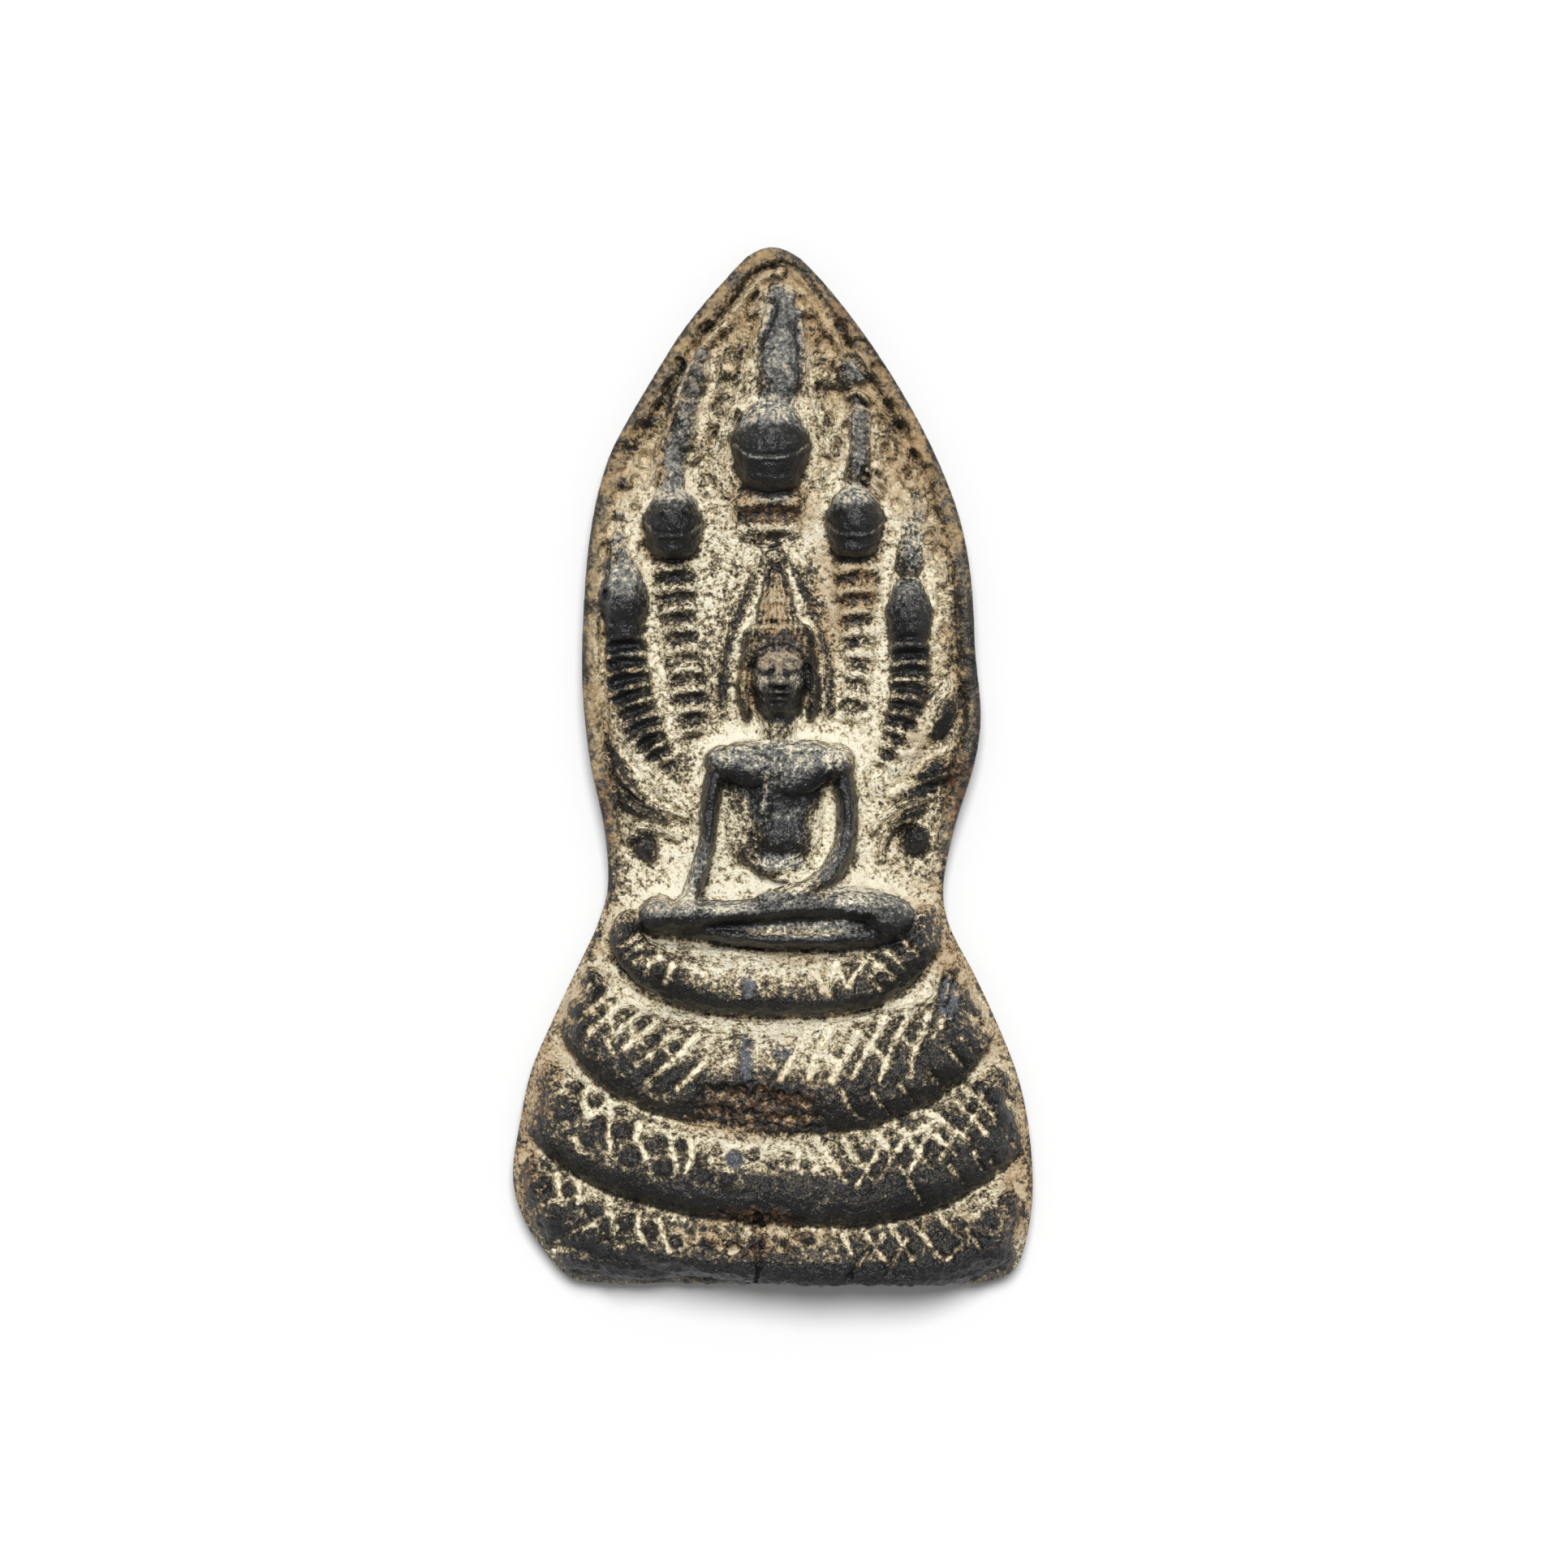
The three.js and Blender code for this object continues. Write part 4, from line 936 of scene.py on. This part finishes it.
def ovalFar(x, y, px, py, w, h, turn=0):
    # distance from an oval's middle, 1 on its edge
    c, s = math.cos(math.radians(turn)), math.sin(math.radians(turn))
    return np.hypot(((x - px) * c - (y - py) * s) / w, ((x - px) * s + (y - py) * c) / h)


def lump(body, name, size, depth, group, middle=0.5):
    texture = bpy.data.textures.new(name, "CLOUDS")
    texture.noise_scale = size
    texture.noise_depth = 3
    wear = body.modifiers.new(name, "DISPLACE")
    wear.texture = texture
    wear.texture_coords = "LOCAL"
    wear.strength = depth
    wear.mid_level = middle
    wear.vertex_group = group
    bpy.ops.object.modifier_apply(modifier=wear.name)


def dropLooseBits(body):
    # fusing and thinning leave a few loose specks beside or inside the casting
    deselectMesh("VERT")
    tip = int(meshArray(body.data)[:, 1].argmax())
    body.data.vertices[tip].select = True
    bpy.ops.object.mode_set(mode="EDIT")
    bpy.ops.mesh.select_linked()
    bpy.ops.mesh.select_all(action="INVERT")
    bpy.ops.mesh.delete(type="VERT")
    bpy.ops.object.mode_set(mode="OBJECT")


amulet = fuse()
print("fused,", len(amulet.data.polygons), "faces")
fillCorners(amulet)
refine(amulet)
carveDetails(amulet)
weather(amulet)
print("weathered")


# Height maps for the soil and the painted shading, each blurred over its reach in millimetres
mapReaches = {"sharp": 0.08, "close": 0.16, "fine": 0.26, "soft": 0.42, "middle": 0.6, "broad": 1.6}
mapLow, maps = reliefMaps(meshArray(amulet.data), mapReaches)
thin = amulet.modifiers.new("thin", "DECIMATE")
thin.ratio = casting["triangles"] / (2 * len(amulet.data.polygons))
thin.use_collapse_triangulate = True
bpy.context.view_layer.objects.active = amulet
bpy.ops.object.modifier_apply(modifier=thin.name)
dropLooseBits(amulet)
print("thinned to", len(amulet.data.polygons), "triangles")

# Where soil lies pale, where the metal is dark or has painted shadow, where it is worn or has a painted
# highlight, where it is bare or calm, where shade is painted or the tone is darker, and where it rusts: soft
# ovals as (x, y, half width, half height)
soilAndLightSpots = {
    "pale": [
        (-4.5, 30, 3.6, 2), (0.5, 29.8, 4, 2), (4.5, 30, 3, 1.8), (-6, 22.4, 2.8, 2.2),
        (1.5, 22.4, 4, 2.6), (5, 22.5, 3, 2.6), (-3, 12.6, 6, 1.4), (3.5, 12.3, 5, 1.7), (-4, 39.6, 3, 2),
        (-10.5, 39.4, 3, 3), (-9, 46.2, 2.6, 3), (-11.8, 47.6, 2, 3), (8.6, 52, 2.6, 3),
        (-4.2, 53.6, 3, 2.4), (4.6, 53.6, 2.6, 2), (0, 67, 1.6, 4), (4.6, 43.6, 1.3, 3), (2.6, 34, 4, 0.6),
        (-10, 39, 3, 4), (11.2, 48.6, 1.6, 2), (12.8, 51.6, 1.2, 2), (0.6, 53, 3, 1),
        (0.4, 66.4, 2.6, 3.8), (-3.4, 4.6, 2.6, 1.6), (0.4, 5, 1.4, 1.4), (-13.4, 50.6, 0.8, 1.4),
        (-11.4, 48.4, 0.8, 1.4), (-11.8, 78.4, 2.4, 2.2), (-0.3, 71, 4.4, 1.9), (-11.5, 18, 4, 1),
        (-2.6, 57.4, 0.7, 2.8), (-0.6, 34.1, 2, 0.6), (2.8, 34.5, 2.4, 0.6), (6, 34.9, 2, 0.5),
        (-17.3, 54, 1.2, 8), (5, 43.6, 1.3, 4), (-3.2, 45, 1.0, 3.4), (0.6, 38.6, 3.6, 1.2),
        (-2.9, 56.2, 0.9, 2.6),
    ],
    # worn tops, with painted highlights on the tops of the heads, crests, face, shoulders, hands and legs
    "worn": [
        (0.9, 91.4, 2.6, 6), (0.6, 60.2, 2.3, 1.2), (0.6, 58.2, 0.5, 1.2), (-1, 58, 0.7, 0.6),
        (2.2, 58, 0.7, 0.6), (0.1, 84.6, 2.4, 1.6), (-1.5, 50.9, 5.4, 1.7), (3.5, 50.7, 5, 1.7),
        (7.6, 76, 1.8, 1.2), (-9.9, 76.2, 1.8, 1.4), (-9.2, 80, 1.4, 3), (-8, 85, 1.4, 4),
        (-7, 89, 1.2, 2), (-1.2, 83.6, 1.2, 1), (-9.9, 74.6, 0.8, 0.6), (7.4, 74.6, 0.8, 0.6),
        (8, 88, 1.4, 2), (8.4, 82, 1.2, 4), (-8.2, 37.2, 1.2, 1.6), (-14.5, 68, 2, 2),
        (-4, 36.4, 2.6, 0.7), (8.6, 37.4, 3.4, 1.4), (-14.5, 74, 1.4, 5), (13.6, 73, 1.4, 4),
        (0.6, 40.6, 2.6, 1),
    ],
    "steel": [
        (-2.3, 29.3, 0.8, 2.2), (-2.5, 22, 0.9, 3), (1, 22.6, 1.4, 1.2), (-3.6, 12.2, 1.4, 1),
        (17, 27.4, 1.2, 2.8),
    ],
    "rust": [
        (-1.5, 17, 7.2, 3.2), (-2, 5.2, 6.5, 3.2), (17.4, 33, 1.8, 5), (-16.5, 45, 1.8, 5),
        (18.2, 47, 1.8, 5), (2, 31.6, 3, 1), (-24.2, 10, 1.8, 5), (24, 10, 1.8, 6), (-23, 18.5, 1.8, 5),
        (5.6, 66, 2.4, 6), (0.3, 66, 1.6, 3), (6.6, 93, 3, 3), (-2.6, 57, 1.2, 3), (0.6, 61, 3, 2.6),
        (0, 75, 5, 3), (8, 67, 3, 3),
    ],
    # dark patina on the hair, heads, arms and flames, and painted shadow under the chest, the belly and the
    # legs
    "ink": [
        (-2.7, 60.2, 0.7, 1.8), (4, 60.2, 0.7, 1.8), (0.6, 62.5, 3, 0.9), (-3.2, 49.1, 0.8, 0.8),
        (-2.4, 48.3, 0.9, 0.9), (-2, 47.1, 0.6, 1.2), (1.2, 46.4, 1.6, 1.2), (3.4, 47.4, 0.8, 1.1),
        (4.4, 49.3, 0.6, 1.0), (1.1, 43.4, 1.5, 1.2), (1.2, 41.8, 2.8, 0.5), (-12.4, 42.2, 1.3, 1.6),
        (13.7, 42.9, 1.6, 2), (-0.2, 78, 4, 2.2), (-0.2, 81.2, 4.2, 1.6), (-9.6, 71, 3.1, 1.6),
        (-9.6, 74, 3.1, 1.4), (8, 71, 3, 1.6), (8, 73.8, 3, 1.4), (-14.3, 63.4, 2.4, 2.6),
        (13.1, 63, 2.4, 3.2), (-7, 34.6, 5, 0.9), (3, 35.4, 7, 0.5), (9, 32.8, 4, 0.7), (-6, 47, 0.8, 3),
        (7.3, 47, 0.9, 3), (-9, 28.4, 1.6, 1),
    ],
    # painted shade on the lower flank of the third coil, under the chin and under the legs, and darker tone
    # on the heads, arms, knees, flames, rim and lowest coil
    "shade": [
        (-15.4, 49.6, 1.4, 3), (-13.4, 46.2, 2.6, 1.4), (15.9, 53.6, 1.6, 4), (15.8, 48, 2.4, 2.6),
        (13.6, 43.4, 2.4, 2.6), (-3.4, 47.6, 1, 2.4), (4.8, 47.6, 0.8, 1.6), (-14.9, 57, 2, 5),
        (-9, 49.6, 1.6, 2.2), (12, 42, 2, 3), (18.6, 51, 1.6, 7), (-9.6, 72.6, 3, 3.2),
        (7.9, 72.8, 3, 3.4), (-6, 56.5, 1.6, 4), (0, 13.6, 7, 1.4), (0, 9, 15, 1.6), (-1, 5.2, 5, 2),
        (-6.2, 46, 1.2, 4.4), (-7.3, 40, 1.2, 3.6), (7.2, 45.4, 1.3, 4.6), (6, 40.6, 1.5, 2.2),
        (-10.8, 35.2, 2.4, 2.2), (10.8, 34.6, 3, 1.8), (2, 32.9, 8, 0.7), (0.6, 55.6, 2.6, 1.6),
        (18.2, 61, 1.4, 7), (15, 3.6, 7, 3),
    ],
    "calm": [
        (0.6, 58, 3.0, 3.6), (-6.1, 46, 1.5, 5), (-7.4, 39.6, 1.5, 4), (7.1, 45, 1.6, 5),
        (5.6, 40.2, 1.9, 2.2), (1, 37.2, 3.4, 1), (0.6, 35.4, 13, 2.4), (-10.6, 35.6, 2.4, 2.4),
        (11, 35.4, 3, 3), (-0.2, 80.4, 4.4, 5), (-9.6, 72.9, 3.4, 4), (7.9, 73.2, 3.4, 4),
        (-14.4, 65.4, 2.8, 4.6), (13.1, 64, 2.7, 4.2), (0.4, 66.4, 2.2, 3.6), (0.9, 90.5, 2, 5),
    ],
    "bare": [
        (-0.2, 80, 4.2, 4.8), (-9.6, 72.9, 3.2, 3.9), (7.9, 73, 3.2, 3.8), (-14.4, 65, 2.6, 5.2),
        (13.1, 64, 2.6, 4.4), (0.9, 90.5, 2.2, 6), (0.6, 58.4, 3.0, 4.2), (0.5, 51, 7.4, 1.9),
        (-2.2, 48.4, 1.8, 2), (3, 48.4, 2.2, 2.6), (0.9, 45.4, 2.4, 4), (-6.1, 46, 1.3, 5),
        (-7.2, 39.6, 1.3, 4), (7.1, 46, 1.4, 5), (5.6, 40.4, 1.8, 2.4), (1, 37.2, 3.4, 0.8),
        (0.6, 35.4, 12.6, 1.9), (-10.6, 35.6, 2.4, 2.4), (11, 35.4, 2.8, 3), (4, 33, 8, 1),
        (-7.8, 86, 1.4, 5), (-9.4, 79, 1.4, 4), (8, 88, 1.4, 2), (8.4, 82, 1.2, 4),
    ],
    "throats": [
        (-13.8, 58, 2.4, 4), (-12.2, 53, 2.4, 3.4), (13.1, 57.4, 2.2, 4), (12, 53, 2.1, 3.4),
        (-9.4, 68.6, 2.6, 1.4),
    ],
}


def spread(mesh):
    # what the material reads, as one attribute each, 0 to 1 or a little beyond
    co = meshArray(mesh)
    normals = np.zeros(len(mesh.vertices) * 3)
    mesh.vertices.foreach_get("normal", normals)
    normals = normals.reshape(-1, 3)
    x, y = inHundredths(co)
    sharp, fine, middle, broad = (readMap(maps[k], mapLow, co) for k in ("sharp", "fine", "middle", "broad"))
    top = np.clip(normals[:, 2] * 3, 0, 1)
    soft, close = (np.gradient(maps[k], mapPitch, axis=1) for k in ("soft", "close"))
    slope = -readMap(0.5 * soft + 0.5 * close, mapLow, co)
    gap = outlineGap(co, np.arange(len(co))) / unit
    raised = np.clip((co[:, 2] - plate["thickness"] - 0.5) / 0.6, 0, 1)
    grooves = [nearLines(x, y, scales[name][2], reach * scales[name][0])
               for name in ("wide", "narrow") for reach in (1.0, 3.4)]
    cups = np.array([ovalFar(x, y, *leaf) for leaf in leaves["at"]]).min(0)
    pads = np.array([ovalFar(x, y, *pad) for pad in scales["pads"]]).min(0)
    cracks = np.maximum(nearLines(x, y, crownGrooves, crown["grooveHalf"]),
                        nearLines(x, y, casting["crack"][0], 0.3))
    made = {
        "groove": np.clip((fine - sharp) / 0.12, -0.5, 1) * top,
        "scaleLine": np.maximum(grooves[0], grooves[2]) * top,
        "scaleZone": np.maximum(grooves[1], grooves[3]) * top,
        "hollow": np.clip((middle - sharp) / 0.35, -0.2, 1) * top,
        "basin": np.clip((broad - sharp) / 1.0, 0, 1) * top,
        # upper: how far a slope faces up the plate, towards the lamp; the material paints light and shade
        # from it
        "upper": np.clip(slope * 0.9, -1, 1) * top,
        "level": np.clip((co[:, 2] - plate["thickness"]) / 3.6, 0, 1),
        "facing": normals[:, 2],
        "ridge": (ridgeProfile(x, y)[1] + rimProfile(x, y, co)[1]) * top,
        "pit": (np.exp(-cups ** 4) - 0.5 * np.exp(-((cups - 1.4) / 0.35) ** 2) + cracks) * top,
        "pad": (np.exp(-pads ** 4) - np.exp(-((pads - 1.4) / 0.35) ** 2)) * top,
        "rib": np.sum([ribWave(x, y, head) for head in heads], axis=0) * top,
        "rimBand": np.clip(1.7 - gap / 1.2, 0, 1) * np.clip((y - 36) / 8, 0, 1),
        "edge": np.clip(np.maximum(1.2 - gap / 0.6, (2.4 - y) / 0.8), 0, 1),
        "lowEdge": (np.clip(1.2 - gap / 4.5, 0, 1) * np.clip((42 - y) / 6, 0, 1)
                    * np.clip((y - 3) / 3, 0, 1)),
        "border": (np.clip(1.2 - gap / 7, 0, 1) * np.clip((y - 44) / 14, 0, 1)
                   + np.clip((y - 74) / 10, 0, 0.5)),
        "rust": nearSpots(x, y, soilAndLightSpots["rust"]),
        "throat": nearSpots(x, y, soilAndLightSpots["throats"]) * top,
        "coil": np.clip((coilTop - y) / 2, 0, 1),
        "features": np.clip((1.1 - ovalFar(x, y, faceAxis, 59.4, 3.8, 5.2)) * 6, 0, 1) * top,
        "calm": nearSpots(x, y, soilAndLightSpots["calm"]) * raised,
    }
    for name in ("worn", "steel", "pale", "ink", "shade", "bare"):
        made[name] = nearSpots(x, y, soilAndLightSpots[name]) * top
    for name, values in made.items():
        layer = mesh.attributes.new(name, "FLOAT", "POINT")
        layer.data.foreach_set("value", values.astype(np.float32))


spread(amulet.data)
print("surface read")


# Finishes

class Wire:
    # a socket of the material in hand; sums on it add Math nodes
    def __init__(self, tree, socket=None):
        self.tree = tree
        self.socket = socket

    def node(self, kind, settings, inputs, output=0):
        made = self.tree.nodes.new(kind)
        for name, value in settings.items():
            if name == "stops":
                ramp = made.color_ramp
                for k, (place, colour) in enumerate(value):
                    stop = ramp.elements[k] if k < 2 else ramp.elements.new(place)
                    stop.position, stop.color = place, colour
            else:
                setattr(made, name, value)
        for name, value in inputs.items():
            if isinstance(value, Wire):
                self.tree.links.new(value.socket, made.inputs[name])
            else:
                made.inputs[name].default_value = value
        return Wire(self.tree, made.outputs[output]) if made.outputs else None

    def sum(self, operation, *values):
        return self.node("ShaderNodeMath", {"operation": operation}, dict(enumerate(values)))

    def __add__(self, other):
        return self.sum("ADD", self, other)

    def __sub__(self, other):
        return self.sum("SUBTRACT", self, other)

    def __rsub__(self, other):
        return self.sum("SUBTRACT", other, self)

    def __mul__(self, other):
        return self.sum("MULTIPLY", self, other)

    __radd__ = __add__
    __rmul__ = __mul__

    def over(self, low, high):
        # 0 below low, 1 above high, smooth between
        return self.node("ShaderNodeMapRange", {"interpolation_type": "SMOOTHSTEP"},
                         {"Value": self, "From Min": low, "From Max": high})

    def blend(self, first, second):
        # this socket mixes two colours
        return self.node("ShaderNodeMix", {"data_type": "RGBA"}, {0: self, 6: first, 7: second}, 2)

    def ramp(self, stops):
        stops = [(place, patina[name]) for place, name in stops]
        return self.node("ShaderNodeValToRGB", {"stops": stops}, {0: self}, "Color")

    def either(self, other):
        return self.sum("MAXIMUM", self, other)


patina = {
    "black": (0.008, 0.008, 0.009, 1), "coal": (0.022, 0.0215, 0.021, 1), "slate": (0.062, 0.061, 0.056, 1),
    "ash": (0.152, 0.148, 0.131, 1), "silver": (0.33, 0.323, 0.29, 1), "bright": (0.62, 0.60, 0.54, 1),
    "brown": (0.028, 0.022, 0.016, 1), "dirt": (0.058, 0.045, 0.029, 1), "olive": (0.165, 0.135, 0.085, 1),
    "clay": (0.37, 0.30, 0.185, 1), "cream": (0.68, 0.59, 0.40, 1), "chalk": (0.92, 0.87, 0.70, 1),
    "ochre": (0.42, 0.265, 0.12, 1), "steel": (0.125, 0.135, 0.150, 1),
    "rustDark": (0.034, 0.021, 0.014, 1), "rust": (0.14, 0.075, 0.037, 1),
    "metalRoughness": 0.36, "soilRoughness": 0.92, "pitDepth": 0.00015,   # the depth in metres
}


def patinaAndShading():
    # dark metal with pale soil in its hollows, ochre and rust stains, and brown sides, with painted light on
    # slopes facing the lamp, painted shade on slopes turned from it, painted highlights on worn tops and
    # painted shadow under the forms
    material = bpy.data.materials.new("patinaAndShading")
    material.use_nodes = True
    tree = material.node_tree
    tree.nodes.clear()
    start = Wire(tree)
    where = start.node("ShaderNodeTexCoord", {}, {}, "Object")

    def noise(size, detail=3, roughness=0.55):
        # size is in millimetres
        return start.node("ShaderNodeTexNoise", {}, {
            "Vector": where, "Scale": 1 / (size * metre), "Detail": detail, "Roughness": roughness}, "Fac")

    def read(name):
        return start.node("ShaderNodeAttribute", {"attribute_name": name}, {}, "Fac")

    level, facing, groove = map(read, ("level", "facing", "groove"))
    hollow, basin, upper = map(read, ("hollow", "basin", "upper"))
    line, zone, pad, pit, ridge, rib = map(read, ("scaleLine", "scaleZone", "pad", "pit", "ridge", "rib"))
    rimBand, border, lowEdge, edge, throat = map(read, ("rimBand", "border", "lowEdge", "edge", "throat"))
    worn, bare, steel, rust = map(read, ("worn", "bare", "steel", "rust"))
    pale, ink, shade = map(read, ("pale", "ink", "shade"))
    calm, coil, features = map(read, ("calm", "coil", "features"))
    fine, speck, grain = noise(0.13, 2) - 0.5, noise(0.25, 2) - 0.5, noise(0.55) - 0.5
    patch, cloud = noise(1.5) - 0.5, noise(4.5, 2) - 0.5

    # soil and painted shading run from bare dark metal at 0 to clean pale clay at 1
    mottle = fine * 1.3 + speck * 1.7 + grain * 1.1 + patch * 0.55
    field = level.over(0.28, 0.03)
    # lit and shaded are mostly painted light on slopes facing the lamp and painted shade on slopes turned
    # from it, with a little soil lying on the upper slopes
    lit, shaded = upper.over(0.12, 1.0), upper.over(-0.12, -0.75)
    # on calm forms, and most on the face, raised parts get a painted highlight and creases painted shade,
    # partly as polish from wear
    soilAndShading = ((lit * 0.32 - shaded * 0.40) * (1 - calm * 0.3) + (groove * 0.16 + hollow * 0.14) * (1 - calm)
            - groove * (calm * 0.10 + features * 0.28)
            + field * 0.30 + 0.32 + basin * 0.10 + line * (grain * 0.4 + 0.40) - zone * 0.18 - pad * 0.18
            + pale * (calm * 0.2 + 0.26) + ridge * 0.36 + rib * 0.52 - throat * 0.15 - calm * 0.06
            - bare * 0.02 + worn * 0.24 - lowEdge * 0.12 - steel * 0.20 - ink * 0.24 - shade * 0.16
            - pit * 0.30 - edge * 0.42 - border * 0.07)
    bare = bare * (1 - field)
    soilAndShading = soilAndShading - bare * soilAndShading.over(0.40, 1.2) * (0.55 - worn * 0.3)   # hands keep it clean
    soilAndShading = soilAndShading - soilAndShading.over(0.76, 1.35) * 0.36   # even the palest soil has dark grains
    soilAndShading = soilAndShading + (cloud * 0.4 + mottle) * (1 - bare * 0.2 - calm * 0.05 - features * 0.12 - border * 0.2
                                            - coil * 0.12 + lowEdge * 0.2)
    # the rim band too is painted lighter on slopes facing the lamp and darker on those turned from it
    band = rimBand * 0.85
    soilAndShading = soilAndShading * (1 - band) + band * (upper * 0.25 + patch * 0.5 + speck * 0.7 + grain * 0.4 + ridge * 0.2
                                       + pale * 0.12 - shade * 0.2 - edge * 0.2 + 0.49)
    earth = soilAndShading.ramp([(0.02, "black"), (0.17, "brown"), (0.32, "dirt"), (0.46, "olive"),
                       (0.59, "clay"), (0.76, "cream"), (0.95, "chalk")])
    metal = soilAndShading.ramp([(0.02, "black"), (0.16, "coal"), (0.31, "slate"), (0.46, "ash"),
                       (0.64, "silver"), (0.92, "bright")])
    ochreMask = cloud + border * 0.40 + rust * 0.55 + lowEdge * 0.5 + patch + grain * 0.9
    earth = (ochreMask.over(0.05, 0.75) * 0.65 * soilAndShading.over(0.30, 0.55)).blend(earth, patina["ochre"])
    rustMask = (rust * 0.6 + patch + grain * 1.2 + speck * 0.8).over(0.42, 0.75) * soilAndShading.over(0.7, 0.3)
    rustTone = (grain + speck).over(-0.1, 0.18).blend(patina["rustDark"], patina["rust"])
    earth = rustMask.blend(earth, rustTone)
    grey = bare.either(worn) * 1.1 + level * 0.4 + patch * 0.8 + speck * 0.5 - pale * 0.6 - ridge * 0.5
    grey = grey.over(0.35, 0.85) * (1 - field) * soilAndShading.over(0.80, 0.62) * (1 - features * 0.45)
    colour = grey.blend(earth, metal)
    steelMask = (steel + grain * 1.5 + speck).over(0.55, 0.95) * soilAndShading.over(0.7, 0.45)
    colour = steelMask.blend(colour, patina["steel"])
    sideTone = (grain + patch).over(-0.1, 0.2).blend(patina["brown"], patina["dirt"])
    colour = facing.over(0.25, -0.1).blend(colour, sideTone)

    clean = soilAndShading.over(0.58, 0.30)
    smoother = patina["metalRoughness"] - patina["soilRoughness"]
    roughness = clean * smoother + patina["soilRoughness"] + speck * 0.2
    pits = (speck * 0.6 + grain * 0.7 + fine * 0.4 + soilAndShading * 0.25) * (1 - bare * 0.3)
    bump = start.node("ShaderNodeBump", {}, {
        "Height": pits, "Distance": patina["pitDepth"], "Strength": 1.0}, "Normal")
    shader = start.node("ShaderNodeBsdfPrincipled", {}, {
        "Base Color": colour, "Roughness": roughness, "Metallic": (steel * clean).over(0.2, 0.9) * 0.35,
        "Normal": bump, "Specular IOR Level": 0.5}, "BSDF")
    start.node("ShaderNodeOutputMaterial", {}, {"Surface": shader})
    return material


def finishPiece(piece):
    deselectAll()
    piece.select_set(True)
    bpy.context.view_layer.objects.active = piece
    piece.name = "amulet"
    piece.vertex_groups.clear()
    piece.data.transform(Matrix.Scale(metre, 4))
    piece.data.materials.clear()
    piece.data.materials.append(patinaAndShading())
    bpy.ops.object.shade_smooth()
    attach(piece, "root")
    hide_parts("naga_buddha_amulet")


finishPiece(amulet)
print("finished")


# Floor, light and camera

studio = {
    "floorSize": 6.0, "floorColour": (0.9, 0.9, 0.9, 1), "floorRoughness": 0.9, "floorShine": 0.1,
    "sun": 2.92, "sunSoft": 28, "sunFrom": (3, 67.5), "sky": 0.28,   # softness and direction in degrees
    "height": 0.42, "centre": (0.00059, -0.00100), "sensor": 36,
    "frameWidth": 0.08145, "frameLevel": 0.003,   # the picture's width at this level, in metres
}


def makeStudio():
    bpy.ops.mesh.primitive_plane_add(size=studio["floorSize"], location=(0, 0, 0))
    floor = bpy.context.object
    floor.name = "floor"
    paper = bpy.data.materials.new("paper")
    paper.use_nodes = True
    surface = paper.node_tree.nodes["Principled BSDF"]
    surface.inputs["Base Color"].default_value = studio["floorColour"]
    surface.inputs["Roughness"].default_value = studio["floorRoughness"]
    surface.inputs["Specular IOR Level"].default_value = studio["floorShine"]
    floor.data.materials.append(paper)
    bpy.ops.object.light_add(type="SUN")
    sun = bpy.context.object
    sun.data.energy = studio["sun"]
    sun.data.angle = math.radians(studio["sunSoft"])
    across, height = (math.radians(v) for v in studio["sunFrom"])
    flat = math.cos(height)
    towards = Vector((math.sin(across) * flat, math.cos(across) * flat, math.sin(height)))
    sun.rotation_euler = towards.to_track_quat("Z", "Y").to_euler()
    sky = bpy.data.worlds.new("softSky")
    sky.use_nodes = True
    background = sky.node_tree.nodes["Background"]
    background.inputs["Color"].default_value = (1, 1, 1, 1)
    background.inputs["Strength"].default_value = studio["sky"]
    bpy.context.scene.world = sky
    x, y = studio["centre"]
    bpy.ops.object.camera_add(location=(x, y, studio["height"]), rotation=(0, 0, 0))
    camera = bpy.context.object
    camera.data.sensor_width = studio["sensor"]
    camera.data.lens = studio["sensor"] * (studio["height"] - studio["frameLevel"]) / studio["frameWidth"]
    camera.data.clip_start = 0.01
    bpy.context.scene.camera = camera
    bpy.context.scene.view_settings.view_transform = "Standard"


makeStudio()
print("studio set")
